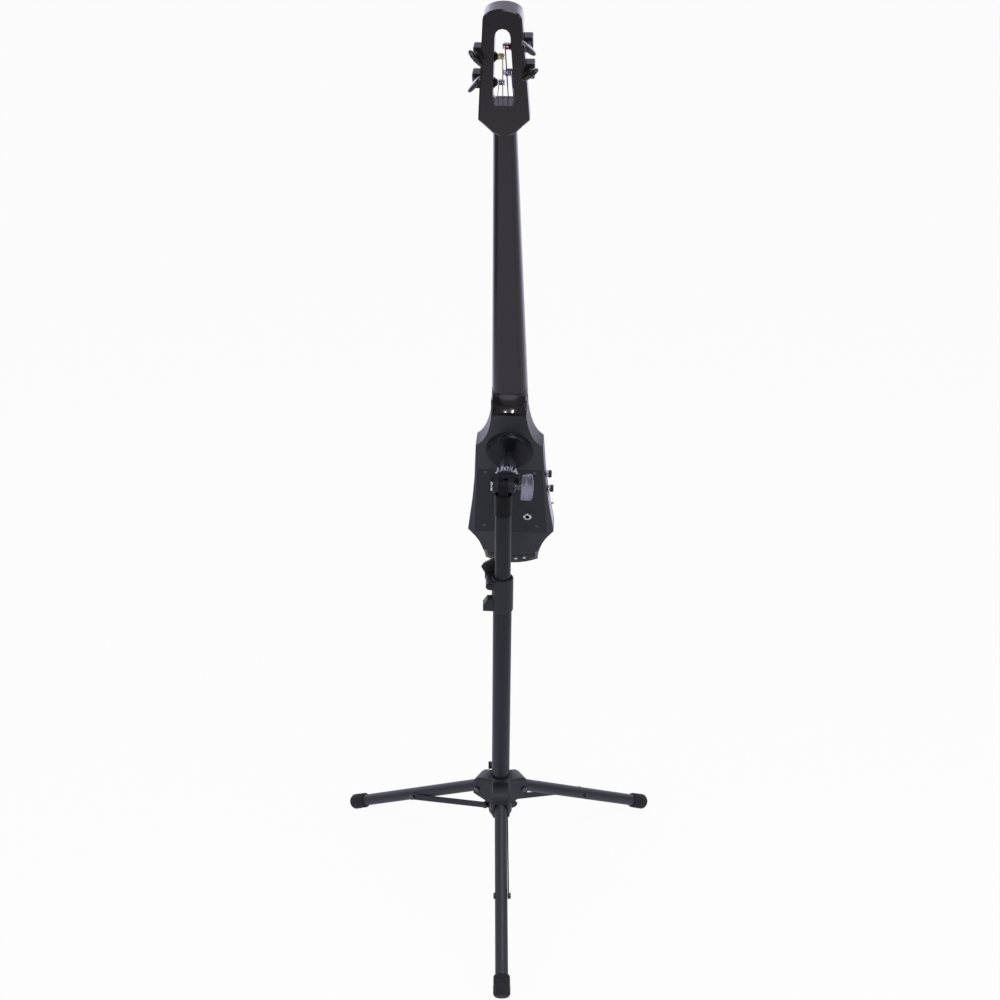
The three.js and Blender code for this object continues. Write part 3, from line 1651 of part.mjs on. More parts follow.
const onSidePlate = new THREE.Group();
onSidePlate.position.set(plateX, knobDepth, plateMiddle);
onSidePlate.rotation.y = -plateLean;
cello.add(onSidePlate);
const plateFace = clearance + sidePlateThickness;
const toggleAt = [0, 0, togglePlace];
place(
  onSidePlate,
  "side_plate",
  cutBy(
    joined(
      block(
        [clearance, plateFace],
        [-sidePlateWidth / 2, sidePlateWidth / 2],
        [-plateHalfLength, plateHalfLength],
      ),
      rod("x", toggleBushRadius, clearance, plateFace + toggleBushLength, toggleAt, coarseSides),
      rod("x", switchRadius, -switchDepth, plateFace - sidePlateThickness / 2, toggleAt, coarseSides),
    ),
    rod(
      "x",
      toggleRadius + toggleSwing,
      plateFace - toggleTail - toggleRadius,
      plateFace + toggleBushLength + overrun,
      toggleAt,
      coarseSides,
    ),
  ),
  greyPlate(),
);
place(
  onSidePlate,
  "toggle_lever",
  turned("x", [
    [0, -toggleTail],
    [toggleRadius, -toggleTail],
    [toggleRadius, toggleBushLength],
    [toggleTipRadius, toggleBushLength + toggleLength - toggleRadius],
    [toggleRadius, toggleBushLength + toggleLength],
    [0, toggleBushLength + toggleLength],
  ], [0, 0, 0], coarseSides),
  brightSteel(),
).position.set(plateFace, 0, togglePlace);

// The origin goes under the middle of the whole, on the floor
model.updateMatrixWorld(true);
const extent = new THREE.Box3().setFromObject(model, true);
const middle = extent.getCenter(new THREE.Vector3());
stand.position.set(-middle.x, -middle.y, -extent.min.z);

export default model;
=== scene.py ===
import json
import math

import bmesh
import bpy
from mathutils import Matrix, Vector


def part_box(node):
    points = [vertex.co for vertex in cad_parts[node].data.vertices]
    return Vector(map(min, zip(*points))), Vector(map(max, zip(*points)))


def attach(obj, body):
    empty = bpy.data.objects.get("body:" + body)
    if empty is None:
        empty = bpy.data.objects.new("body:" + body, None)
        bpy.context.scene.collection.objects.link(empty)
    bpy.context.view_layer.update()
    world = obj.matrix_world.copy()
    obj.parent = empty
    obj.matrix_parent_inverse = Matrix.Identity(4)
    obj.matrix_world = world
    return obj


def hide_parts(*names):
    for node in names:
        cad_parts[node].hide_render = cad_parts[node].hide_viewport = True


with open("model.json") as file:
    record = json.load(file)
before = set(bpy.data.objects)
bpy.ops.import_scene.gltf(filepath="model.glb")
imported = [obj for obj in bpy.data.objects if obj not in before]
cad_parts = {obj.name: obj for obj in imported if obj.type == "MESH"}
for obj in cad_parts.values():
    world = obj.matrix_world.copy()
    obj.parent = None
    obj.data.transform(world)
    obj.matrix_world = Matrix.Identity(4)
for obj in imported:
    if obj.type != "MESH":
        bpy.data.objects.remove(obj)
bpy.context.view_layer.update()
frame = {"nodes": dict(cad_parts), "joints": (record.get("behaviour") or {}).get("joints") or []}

# The camera stands behind the instrument, above its head, and looks down at it.
# Its place, counted from the pole's foot, and its lens come from the slant of the stand
# and of the instrument's back.
pole_low, pole_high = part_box("pole_tube")
pole_seat = Matrix.Translation(((pole_low.x + pole_high.x) / 2, (pole_low.y + pole_high.y) / 2, 0))
focal_length, sensor_width = 46.79, 36
camera_tilt = math.radians(90 - 25.84)
camera_turn, camera_roll = math.radians(-0.8), math.radians(0.51)
camera_stand = Vector((-0.00523, -1.7944, 1.585))
lens = bpy.data.cameras.new("studio_camera")
lens.lens, lens.sensor_width = focal_length, sensor_width
camera = bpy.data.objects.new("studio_camera", lens)
bpy.context.scene.collection.objects.link(camera)
swing = Matrix.Rotation(camera_turn, 4, "Z")
camera.matrix_world = (
    Matrix.Translation(pole_seat.translation + swing.to_3x3() @ camera_stand)
    @ swing
    @ Matrix.Rotation(camera_tilt, 4, "X")
    @ Matrix.Rotation(camera_roll, 4, "Z")
)
bpy.context.scene.camera = camera
bpy.context.scene.view_settings.view_transform = "Standard"


# The studio: a white floor and white surroundings, soft boxes at both sides and overhead.
# A socket's value can be worked with in plain sums, and each sum adds its own Math node.
class Wire:
    def __init__(self, tree, socket):
        self.tree, self.socket = tree, socket

    def sum(self, operation, *values):
        made = self.tree.nodes.new("ShaderNodeMath")
        made.operation = operation
        for entry, value in zip(made.inputs, values):
            plug(self.tree, entry, value)
        return Wire(self.tree, made.outputs[0])

    def __add__(self, other):
        return self.sum("ADD", self, other)

    def __radd__(self, other):
        return self.sum("ADD", other, self)

    def __sub__(self, other):
        return self.sum("SUBTRACT", self, other)

    def __rsub__(self, other):
        return self.sum("SUBTRACT", other, self)

    def __mul__(self, other):
        return self.sum("MULTIPLY", self, other)

    def __rmul__(self, other):
        return self.sum("MULTIPLY", other, self)


def plug(tree, entry, value):
    if isinstance(value, Wire):
        tree.links.new(value.socket, entry)
    else:
        entry.default_value = value


class Finish:
    def __init__(self, owner):
        owner.use_nodes = True
        self.owner, self.tree = owner, owner.node_tree
        self.tree.nodes.clear()

    def node(self, kind, settings=None, sockets=None, out=0):
        made = self.tree.nodes.new("ShaderNode" + kind)
        for name, value in (settings or {}).items():
            setattr(made, name, value)
        for name, value in (sockets or {}).items():
            plug(self.tree, made.inputs[name], value)
        return Wire(self.tree, made.outputs[out]) if made.outputs else None

    def put(self, kind="BsdfPrincipled", end="OutputMaterial", **values):
        sockets = {name.replace("_", " "): value for name, value in values.items()}
        self.node(end, {}, {"Surface": self.node(kind, {}, sockets)})
        return self.owner

    def mixed(self, share, first, second):
        # A Mix node's factor is its socket 0, its colours are 6 and 7, and its colour comes out at 2
        colours = {0: share, 6: (*first, 1) if isinstance(first, tuple) else first}
        colours[7] = (*second, 1) if isinstance(second, tuple) else second
        return self.node("Mix", {"data_type": "RGBA"}, colours, out=2)

    def larger(self, first, second):
        return self.node("Math", {"operation": "MAXIMUM"}, {0: first, 1: second})

    def measure(self, place, direction):
        line = {0: place, 1: direction}
        return self.node("VectorMath", {"operation": "DOT_PRODUCT"}, line, out="Value")

    def places(self):
        return self.node("TexCoord", out="Object")

    def along(self, direction, origin=None):
        place = self.places()
        if origin is not None:
            place = self.node("VectorMath", {"operation": "SUBTRACT"}, {0: place, 1: origin})
        return self.measure(place, direction)

    def drawn(self, seat, stretch):
        parts = [self.along(seat.col[axis].to_3d()) * stretch[axis] for axis in range(3)]
        return self.node("CombineXYZ", {}, dict(zip("XYZ", parts)))

    def cloud(self, scale=1, detail=2, place=None, rough=0.5):
        entries = {"Vector": place or self.places(), "Scale": scale, "Detail": detail, "Roughness": rough}
        return self.node("TexNoise", {}, entries)

    def cells(self, scale, place=None):
        return self.node("TexVoronoi", {}, {"Vector": place or self.places(), "Scale": scale})

    def ramp(self, value, low, high):
        entries = {"Value": value, "From Min": low, "From Max": high}
        return self.node("MapRange", {"interpolation_type": "SMOOTHSTEP"}, entries)

    def bump(self, height, depth):
        entries = {"Height": height, "Distance": depth, "Strength": 1}
        return self.node("Bump", {}, entries)


# The surroundings: plain white to the eye, and for mirrored light a dim room
# with a bright backdrop behind the instrument and an opening overhead.
world = bpy.data.worlds.new("studio_air")
bpy.context.scene.world = world
air = Finish(world)
rays = {name: air.node("LightPath", out=f"Is {name} Ray") for name in ("Camera", "Glossy", "Transmission")}
heading = air.node("TexCoord", out="Generated")
room_light, dim_room = 0.55, 0.22
white, cool_white = (1, 1, 1), (0.84, 0.82, 1)
backdrop_way, backdrop_edges, backdrop_light = (-0.15, 0.99, 0), (-0.05, 0.85), 2.3
backdrop_top, lost_at_top = (0.3, 0.5), 0.65
upward = Vector((0, 0, 1))
opening_way, opening_edges, opening_light = (0.3, 0.15, 0.94), (0.86, 0.94), 1.8
kept_light = 1 - air.ramp(air.measure(heading, upward), *backdrop_top) * lost_at_top
backdrop = air.ramp(air.measure(heading, backdrop_way), *backdrop_edges) * backdrop_light * kept_light
opening = air.ramp(air.measure(heading, opening_way), *opening_edges) * opening_light
mirrored = air.larger(backdrop, opening) * (1 - dim_room) + dim_room
seen = air.larger(rays["Camera"], rays["Transmission"])
not_seen = 1 - air.larger(seen, rays["Glossy"])
tinge = air.mixed(rays["Glossy"], white, cool_white)
strength = seen + rays["Glossy"] * mirrored + not_seen * room_light
air.put("Background", "OutputWorld", Color=tinge, Strength=strength)

# The floor: white paper that glows to the eye and still takes the object's shadow.
# In mirrored light it is darker at both sides and toward the camera, and brighter far behind.
mm = 0.001
floor_half, floor_drop = 30, 0.2 * mm
corners = [(-1, -1), (1, -1), (1, 1), (-1, 1)]
floor_mesh = bpy.data.meshes.new("floor")
floor_places = [(x * floor_half, y * floor_half, -floor_drop) for x, y in corners]
floor_mesh.from_pydata(floor_places, [], [(0, 1, 2, 3)])
floor = bpy.data.objects.new("floor", floor_mesh)
bpy.context.scene.collection.objects.link(floor)
paper = Finish(bpy.data.materials.new("studio_floor"))
paper_glow = 0.93
far_edges, far_white = (0.8, 4), (1.15, 1.1, 1.35)
right_edges, left_edges, near_edges = (0.4, 0.9), (-0.8, -1.9), (-1.2, -2.3)
right_shade, left_shade, near_shade = 0.4, 0.85, 0.8
looks = {name: paper.node("LightPath", out=f"Is {name} Ray") for name in rays}
rightward, away = paper.along(Vector((1, 0, 0))), paper.along(Vector((0, 1, 0)))
far = paper.ramp(away, *far_edges)
beside = 1 - far
shades = [paper.ramp(rightward, *right_edges) * right_shade * beside]
shades.append(paper.ramp(rightward, *left_edges) * left_shade * beside)
shades.append(paper.ramp(away, *near_edges) * near_shade)
open_share = 1
for shade in shades:
    open_share = open_share * (1 - looks["Glossy"] * shade)
lit = (looks["Camera"] + looks["Glossy"] + looks["Transmission"]) * open_share
glow_colour = paper.mixed(looks["Glossy"], white, paper.mixed(far, cool_white, far_white))
glow = paper.node("Emission", {}, {"Color": glow_colour, "Strength": 1})
fibres = paper.mixed(paper.cloud(scale=900, detail=3), (0.88, 0.88, 0.88), (0.92, 0.92, 0.92))
matt = paper.node("BsdfDiffuse", {}, {"Color": paper.mixed(open_share, (0, 0, 0), fibres)}, out="BSDF")
sheet = paper.node("MixShader", {}, {0: lit * paper_glow, 1: matt, 2: glow})
paper.node("OutputMaterial", {}, {"Surface": sheet})
floor_mesh.materials.append(paper.owner)

# The lamps: three soft boxes, and two narrow strips that show as white spots in the neck's heel.
# Each has its stand beside the pole, its size in metres and its power.
boxes = {
    "left_box": ((-1.9, -1.3, 1.9), (0.9, 1.6), 9),
    "right_box": ((1.9, -1.1, 1.7), (0.9, 1.6), 7),
    "top_box": ((0.5, -1.1, 3.1), (1.3, 1.1), 16),
    "left_glint": ((-0.47, -1.86, 1.3), (0.04, 0.2), 1.7),
    "right_glint": ((-0.06, -1.91, 1.2), (0.04, 0.2), 1.7),
}
aim = Vector((0, 0, 0.75))
for box_name, (stand, size, power) in boxes.items():
    lamp = bpy.data.lights.new(box_name, "AREA")
    lamp.shape, lamp.size, lamp.size_y, lamp.energy = "RECTANGLE", *size, power
    holder = bpy.data.objects.new(box_name, lamp)
    holder.location = Vector(stand) + pole_seat.translation
    holder.rotation_euler = (Vector(stand) - aim).to_track_quat("Z", "Y").to_euler()
    bpy.context.scene.collection.objects.link(holder)


# The tubes of the stand: drawn steel with a satin powder coat, plain cut ends broken by a file.
# The lower tube is plugged at its foot, and the thinner upper one slides in it from above.
def eased(outline, radius, closed=False, steps=4):
    nearly_half = 0.48
    corners = [Vector(corner) for corner in outline]
    made = []
    for index, corner in enumerate(corners):
        if not closed and index in (0, len(corners) - 1):
            made.append(corner)
            continue
        before, after = corners[index - 1] - corner, corners[(index + 1) % len(corners)] - corner
        reach = min(radius, before.length * nearly_half, after.length * nearly_half)
        start, end = corner + before.normalized() * reach, corner + after.normalized() * reach
        shares = [step / steps for step in range(steps + 1)]
        made += [start.lerp(corner, share).lerp(corner.lerp(end, share), share) for share in shares]
    return made


def solid(name, rings, seat, looped=False, capped=False):
    touching, sharp_edge = 1e-7, math.radians(38)
    mesh = bmesh.new()
    rows = [[mesh.verts.new(seat @ Vector(point)) for point in ring] for ring in rings]
    count = max(len(row) for row in rows)
    pairs = list(zip(rows, rows[1:])) + ([(rows[-1], rows[0])] if looped else [])
    for low, high in pairs:
        for index in range(count):
            after = (index + 1) % count
            around = [low[index % len(low)], low[after % len(low)]]
            around += [high[after % len(high)], high[index % len(high)]]
            face = list(dict.fromkeys(around))
            if len(face) > 2:
                mesh.faces.new(face)
    if capped:
        mesh.faces.new(rows[0])
        mesh.faces.new(rows[-1])
    bmesh.ops.remove_doubles(mesh, verts=mesh.verts, dist=touching)
    bmesh.ops.recalc_face_normals(mesh, faces=mesh.faces)
    data = bpy.data.meshes.new(name)
    mesh.to_mesh(data)
    mesh.free()
    data.polygons.foreach_set("use_smooth", [True] * len(data.polygons))
    data.set_sharp_from_angle(angle=sharp_edge)
    piece = bpy.data.objects.new(name, data)
    bpy.context.scene.collection.objects.link(piece)
    return piece


def turned(name, profile, seat, sides=72, looped=False, ribs=(0, 0)):
    on_axis, groove_shape = 1e-7, 1.5
    rib_count, groove = ribs
    rings = []
    for radius, height, *share in profile:
        if radius < on_axis:
            rings.append([(0, 0, height)])
            continue
        ring = []
        deepest = groove * (share[0] if share else 0)
        for index in range(sides):
            turn = 2 * math.pi * index / sides
            cut = deepest * (0.5 - 0.5 * math.cos(rib_count * turn)) ** groove_shape
            ring.append(((radius - cut) * math.cos(turn), (radius - cut) * math.sin(turn), height))
        rings.append(ring)
    return solid(name, rings, seat, looped)


def fit(piece, body, slot, finish, *nodes):
    piece.data.materials.clear()
    piece.data.materials.append(finish)
    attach(piece, body)
    if nodes:
        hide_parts(*nodes)


def dress(node, finish, edge=0.4 * mm, limit=34):
    piece = frame["nodes"][node]
    piece.data.materials.clear()
    piece.data.materials.append(finish)
    piece.data.polygons.foreach_set("use_smooth", [True] * len(piece.data.polygons))
    weld = piece.modifiers.new("weld", "WELD")
    weld.merge_threshold = 0.002 * mm
    if edge:
        broken = piece.modifiers.new("broken_edge", "BEVEL")
        broken.width, broken.segments = edge, 2
        broken.limit_method, broken.angle_limit = "ANGLE", math.radians(limit)
        broken.use_clamp_overlap = True
    flow = piece.modifiers.new("flow", "WEIGHTED_NORMAL")
    flow.mode, flow.weight = "FACE_AREA_WITH_ANGLE", 60


def tinted(colour, share):
    return tuple(part * share for part in colour)


def powder_coat(name, colour, roughness, grain, depth, shine=0.35):
    coat = Finish(bpy.data.materials.new(name))
    drift, peel = coat.cloud(scale=22, detail=3), coat.cloud(scale=grain, detail=3)
    speck_edges, speck_share, speck_tint = (0.66, 0.74), 0.35, 2.2
    specks = coat.ramp(coat.cloud(scale=grain * 2.2, detail=1), *speck_edges)
    coloured = coat.mixed(drift, tinted(colour, 0.8), tinted(colour, 1.2))
    return coat.put(
        Base_Color=coat.mixed(specks * speck_share, coloured, tinted(colour, speck_tint)),
        Roughness=roughness + 0.1 * (drift - 0.5) + 0.06 * (peel - 0.5),
        Normal=coat.bump(peel, depth),
        Specular_IOR_Level=shine,
    )


tube_paint = powder_coat("tube_paint", (0.0095, 0.0098, 0.0165), 0.36, grain=1400, depth=0.035 * mm)
pole_radius, mast_radius = 15 * mm, 12.7 * mm
tube_wall, tube_ease = 1.5 * mm, 0.45 * mm


def span(node, seat):
    back = seat.inverted()
    places = [back @ vertex.co for vertex in frame["nodes"][node].data.vertices]
    return [Vector([pick(place[axis] for place in places) for axis in range(3)]) for pick in (min, max)]


def tube(name, node, body, radius):
    low, high = span(node, pole_seat)
    ring = [(radius, low.z), (radius, high.z), (radius - tube_wall, high.z), (radius - tube_wall, low.z)]
    piece = turned(name, eased(ring, tube_ease, closed=True), pole_seat, looped=True)
    fit(piece, body, "tube_paint", tube_paint, node)


tube("lower_tube", "pole_tube", "pole", pole_radius)
tube("upper_tube", "mast_tube", "mast", mast_radius)


def moulded(name, colour, roughness, grain=2600, depth=0.02 * mm, shine=0.38):
    plastic = Finish(bpy.data.materials.new(name))
    drift, skin = plastic.cloud(scale=40), plastic.cells(grain)
    return plastic.put(
        Base_Color=plastic.mixed(drift, tinted(colour, 0.85), tinted(colour, 1.2)),
        Roughness=roughness + 0.08 * (drift - 0.5),
        Normal=plastic.bump(skin, depth),
        Specular_IOR_Level=shine,
    )


black_plastic = moulded("black_plastic", (0.011, 0.011, 0.0135), 0.42)
dress("pole_plug", black_plastic)

# The castings of the stand: pressure-cast alloy with a slightly coarser black coat.
# The low collar is fixed to the pole, and the hub slides on it and is clamped at its back.
cast_paint = powder_coat("cast_paint", (0.0115, 0.0118, 0.0185), 0.44, grain=820, depth=0.09 * mm, shine=0.4)
cast_edge = 0.7 * mm
for casting in ("brace_collar", "leg_hub"):
    dress(casting, cast_paint, cast_edge)
dress("hub_clamp_bolt", black_plastic, 0.5 * mm)


# Pins and rivets: turned steel, blackened, with low domed heads and a centre left by the tool.
# The legs hang on the pins in the hub, and the flat braces are riveted beside the legs.
def metal(name, colour, roughness, seat, stretch=(300, 300, 9000), scratch=0.004 * mm):
    steel = Finish(bpy.data.materials.new(name))
    lines, drift = steel.cloud(detail=3, place=steel.drawn(seat, stretch)), steel.cloud(scale=60, detail=3)
    return steel.put(
        Base_Color=steel.mixed(drift, tinted(colour, 0.88), tinted(colour, 1.08)),
        Roughness=roughness + 0.12 * (lines - 0.5) + 0.08 * (drift - 0.5),
        Normal=steel.bump(lines, scratch),
        Metallic=1,
    )


def seat_at(origin, x, y):
    # A seat is a piece's own place: an origin with three directions at right angles
    matrix = Matrix((x, y, x.cross(y))).transposed().to_4x4()
    matrix.translation = origin
    return matrix


dark_steel = metal("dark_steel", (0.1, 0.1, 0.11), 0.3, pole_seat)
joints = {joint["name"]: joint for joint in frame["joints"]}
stand_sides = ("front", "right", "left")
pin_radius, pin_head_radius, pin_head_height = 3 * mm, 5 * mm, 2.5 * mm
centre_radius, centre_depth, crown_radius, crown_height = 1.1 * mm, 0.5 * mm, 3.4 * mm, 0.9 * mm
for side in stand_sides:
    joint = joints[f"leg_{side}_fold"]
    across = Vector(joint["axis"])
    pin_seat = seat_at(Vector(joint["pos_m"]), across.cross(upward), upward)
    end = span(f"leg_pin_{side}", pin_seat)[1].z
    head = [(0, -end + centre_depth), (centre_radius, -end), (crown_radius, -end)]
    head += [(pin_head_radius, -end + crown_height), (pin_head_radius, -end + pin_head_height)]
    head.append((pin_radius, -end + pin_head_height))
    profile = head + [(radius, -height) for radius, height in reversed(head)]
    pin = turned(f"leg_bolt_{side}", eased(profile, 0.35 * mm), pin_seat, sides=40)
    fit(pin, f"leg_{side}_set", "dark_steel", dark_steel, f"leg_pin_{side}")
    dress(f"brace_rivet_{side}", dark_steel, 0.5 * mm)

# The legs and braces: round steel tubes and flat steel bars, coated like the pole.
# The legs' coat is a little rougher, and takes the light from above more broadly.
leg_paint = powder_coat("leg_paint", (0.0115, 0.0118, 0.0195), 0.5, grain=1100, depth=0.05 * mm, shine=0.6)
for side in stand_sides:
    dress(f"brace_{side}", tube_paint, 0.35 * mm)
    dress(f"leg_{side}", leg_paint, 0.35 * mm, limit=40)

# The feet: black rubber caps pushed on the legs' ends, ribbed round their rims.
# Each is worn flat where it stands on the floor.
rubber = Finish(bpy.data.materials.new("black_rubber"))
rubber_dust, rubber_grain = rubber.cloud(scale=70, detail=4), rubber.cells(1700)
black_rubber = rubber.put(
    Base_Color=rubber.mixed(rubber_dust, (0.012, 0.012, 0.0155), (0.022, 0.022, 0.0265)),
    Roughness=0.72 + 0.14 * (rubber_dust - 0.5),
    Normal=rubber.bump(rubber_grain, 0.1 * mm),
    Specular_IOR_Level=0.3,
)
leg_slope = math.radians(28.5)
foot_radius, leg_bore, sole = 13.5 * mm, 10.5 * mm, 4 * mm
lip_inset, lip_slope, lip_height = 2 * mm, 0.5 * mm, 2 * mm
groove_start, groove_step, groove_count = 4.5 * mm, 4 * mm, 3
groove_inset, groove_corners = (0.2 * mm, 0.9 * mm), (0, 0.6 * mm, 1.6 * mm, 2.2 * mm)
plain_start, sole_bevel, foot_ease = 18 * mm, 2.6 * mm, 1.2 * mm
for side in stand_sides:
    joint = joints[f"leg_{side}_fold"]
    across = Vector(joint["axis"])
    down = across.cross(upward) * math.cos(leg_slope) - upward * math.sin(leg_slope)
    foot_seat = seat_at(Vector(joint["pos_m"]), down.cross(across), across)
    low, high = span(f"foot_{side}", foot_seat)
    start, tip = (low.z, high.z) if high.z > -low.z else (high.z, low.z)
    way = 1 if tip > start else -1
    length = abs(tip - start)
    outline = [(0, length - sole), (leg_bore, length - sole), (leg_bore, 0)]
    outline += [(foot_radius - lip_inset, 0), (foot_radius - lip_slope, lip_height)]
    for groove in range(groove_count):
        base = groove_start + groove * groove_step
        insets = (groove_inset[0], groove_inset[1], groove_inset[1], groove_inset[0])
        outline += [(foot_radius - inset, base + height) for inset, height in zip(insets, groove_corners)]
    outline += [(foot_radius, plain_start), (foot_radius, length - sole)]
    outline += [(foot_radius - sole_bevel, length), (0, length)]
    profile = [(radius, start + way * height) for radius, height in eased(outline, foot_ease)]
    foot = turned(f"rubber_foot_{side}", profile, foot_seat)
    for vertex in foot.data.vertices:
        vertex.co.z = max(vertex.co.z, 0)
    fit(foot, f"leg_{side}_set", "black_rubber", black_rubber, f"foot_{side}")

# The height clamp: a cast collar on the pole's top with a split lug, closed by a wing screw.
# A plastic bush inside it guides the upper tube.
dress("height_collar", cast_paint, cast_edge)
dress("collar_bush", black_plastic, 0.3 * mm)
dress("wing_screw", black_plastic, 0.9 * mm)

# The tilt joint: a plug with a tongue in the upper tube, and two cheeks round that tongue.
# Both are darker than the other castings, and the plug's collar stands on the tube's end.
socket_black = moulded("socket_black", (0.0028, 0.0028, 0.0056), 0.46, grain=2400, shine=0.2)
head_paint = powder_coat("head_paint", (0.0085, 0.0087, 0.0145), 0.42, grain=820, depth=0.09 * mm, shine=0.3)
dress("tilt_socket", socket_black, 0.6 * mm)
dress("tilt_head", head_paint, 0.9 * mm)
tilt = joints["tilt_turn"]
stud = joints["instrument_turn"]
stud_way, tilt_way = Vector(stud["axis"]), Vector(tilt["axis"])
tilt_seat = seat_at(Vector(tilt["pos_m"]), tilt_way, stud_way)

# The paddle at the joint's side turns the bolt that squeezes the cheeks.
# It is cast in satin grey alloy, with rounded edges and a crowned face.
paddle_grey = metal("paddle_grey", (0.27, 0.27, 0.31), 0.27, tilt_seat, (800, 800, 800), 0.012 * mm)
paddle_start, paddle_width, paddle_height, paddle_depth = 26 * mm, 20 * mm, 48.5 * mm, 11 * mm
paddle_shares = [(0, -0.54), (0.82, -0.54), (0.94, -0.3), (1, -0.04)]
paddle_shares += [(0.98, 0.2), (0.88, 0.46), (0.2, 0.46), (0.03, 0.3)]
paddle_ease, middle_share, rows_per_side = 4 * mm, 0.45, 7
paddle_bend, crown_share = 5.5 * mm, 0.12
edge_round = [(0, 2.4 * mm), (0.35 * mm, 1.1 * mm), (1.1 * mm, 0.35 * mm), (2.4 * mm, 0)]
face_squeezes = (0.02, 0.4, 0.75)
outline = [(paddle_start + u * paddle_width, v * paddle_height) for u, v in paddle_shares]
outline = eased(outline, paddle_ease, closed=True, steps=6)
paddle_sides = zip(outline, outline[1:] + outline[:1])
rows = range(rows_per_side)
outline = [start.lerp(end, row / rows_per_side) for start, end in paddle_sides for row in rows]
middle = Vector((paddle_start + paddle_width * middle_share, 0))
layers = [(*edge_round[0], squeeze) for squeeze in face_squeezes]
layers += [(depth, inset, 1) for depth, inset in edge_round + [(paddle_depth / 2, 0)]]
layers += [(paddle_depth - depth, inset, 1) for depth, inset in reversed(edge_round)]
rings = []
for depth, inset, squeeze in layers:
    ring = []
    for point in outline:
        pull = (middle - point).normalized() * inset
        crown = (2 * (point.y / paddle_height + crown_share)) ** 2 * (1 - depth / paddle_depth)
        x = middle.x + (point.x + pull.x - middle.x) * squeeze
        ring.append((x, depth - paddle_depth / 2 + paddle_bend * crown, point.y + pull.y))
    rings.append(ring)
paddle = solid("tilt_paddle", rings, tilt_seat, capped=True)
fit(paddle, "handle", "bright_steel", paddle_grey, "tilt_handle")

# The tilt bolt: a bright round head with a shallow recess on the left, and a blackened shank
# that runs through the cheeks, a washer and a spacer into the paddle's eye.
bright_steel = metal("bright_steel", (0.62, 0.63, 0.66), 0.16, tilt_seat)
bolt_seat = tilt_seat @ Matrix.Rotation(math.radians(90), 4, "Y")
bolt_end = span("tilt_handle", tilt_seat)[0].x
bolt_head_radius, bolt_head_height = 7.6 * mm, 3 * mm
recess_radius, recess_rim, recess_depth = 4 * mm, 0.6 * mm, 0.8 * mm
bolt = [(0, bolt_end + recess_depth), (recess_radius, bolt_end + recess_depth)]
bolt += [(recess_radius + recess_rim, bolt_end), (bolt_head_radius, bolt_end)]
bolt += [(bolt_head_radius, bolt_end + bolt_head_height), (0, bolt_end + bolt_head_height)]
bolt_head = turned("tilt_bolt_head", eased(bolt, 0.5 * mm), bolt_seat, sides=48)
fit(bolt_head, "handle", "bright_steel", bright_steel)
shank_radius, shank_start = 4 * mm, bolt_end + 2.8 * mm
washer_radius, washer_start, washer_end = 7.4 * mm, 16.3 * mm, 17.6 * mm
spacer_radius, spacer_end = 4.6 * mm, 20 * mm
waist_start, waist_end = 20.6 * mm, 21.6 * mm
eye_radius, eye_start, eye_end = 4.8 * mm, 22.2 * mm, 27 * mm
shank = [(0, shank_start), (shank_radius, shank_start), (shank_radius, washer_start)]
shank += [(washer_radius, washer_start), (washer_radius, washer_end)]
shank += [(spacer_radius, washer_end), (spacer_radius, spacer_end)]
shank += [(shank_radius, waist_start), (shank_radius, waist_end)]
shank += [(eye_radius, eye_start), (eye_radius, eye_end), (0, eye_end)]
bolt_shaft = turned("tilt_bolt_shaft", eased(shank, 0.4 * mm), bolt_seat, sides=48)
fit(bolt_shaft, "handle", "bright_steel", dark_steel)

# The lock nut: turned from bar, with eleven deep ribs for the fingers, and plated black.
# It is run along the stud against the tilt joint's head.
nut_seat = seat_at(Vector(joints["lock_nut_turn"]["pos_m"]), stud_way.cross(tilt_way), tilt_way)
nut_low, nut_high = span("lock_nut", nut_seat)
nut_bore, nut_face, nut_shoulder, nut_radius = 6.5 * mm, 14.2 * mm, 16.9 * mm, 18.5 * mm
shoulder_height, shoulder_cut, rib_height = 0.6 * mm, 0.3, 2.4 * mm
rib_count, rib_groove = 11, 2.6 * mm
nut_end = [(nut_bore, 0, 0), (nut_face, 0, 0), (nut_shoulder, shoulder_height, shoulder_cut)]
nut_end.append((nut_radius, rib_height, 1))
profile = [(radius, nut_low.z + height, share) for radius, height, share in nut_end]
profile.append((nut_radius, (nut_low.z + nut_high.z) / 2, 1))
profile += [(radius, nut_high.z - height, share) for radius, height, share in reversed(nut_end)]
black_chrome = metal("black_chrome", (0.26, 0.26, 0.29), 0.1, tilt_seat)
nut = turned("ribbed_nut", profile, nut_seat, sides=176, looped=True, ribs=(rib_count, rib_groove))
fit(nut, "locking", "bright_steel", black_chrome, "lock_nut")

# The stud: a turned bar out of the tilt joint's head, with a thicker sleeve before the disc.
# A cone leads from the sleeve back to the bar, which ends in the disc.
side_way = Vector(joints["volume_turn"]["axis"])
instrument_up = side_way.cross(stud_way)
stud_seat = seat_at(Vector(stud["pos_m"]), stud_way.cross(side_way), side_way)
low, high = span("mount_stud", stud_seat)
way = 1 if high.z > -low.z else -1
near, far_end = sorted((abs(low.z), abs(high.z)))
stud_radius, tip_radius, tip_bevel = 6.2 * mm, 5.4 * mm, 0.8 * mm
sleeve_radius, sleeve_start, sleeve_end = 12.5 * mm, 33 * mm, 57.8 * mm
cone_radius, cone_middle, cone_end = 8.2 * mm, 59.2 * mm, 60.6 * mm
shank = [(0, near), (tip_radius, near), (stud_radius, near + tip_bevel), (stud_radius, sleeve_start)]
shank += [(sleeve_radius, sleeve_start), (sleeve_radius, sleeve_end), (cone_radius, cone_middle)]
shank += [(stud_radius, cone_end), (stud_radius, far_end), (0, far_end)]
profile = [(radius, way * height) for radius, height in eased(shank, 0.8 * mm)]
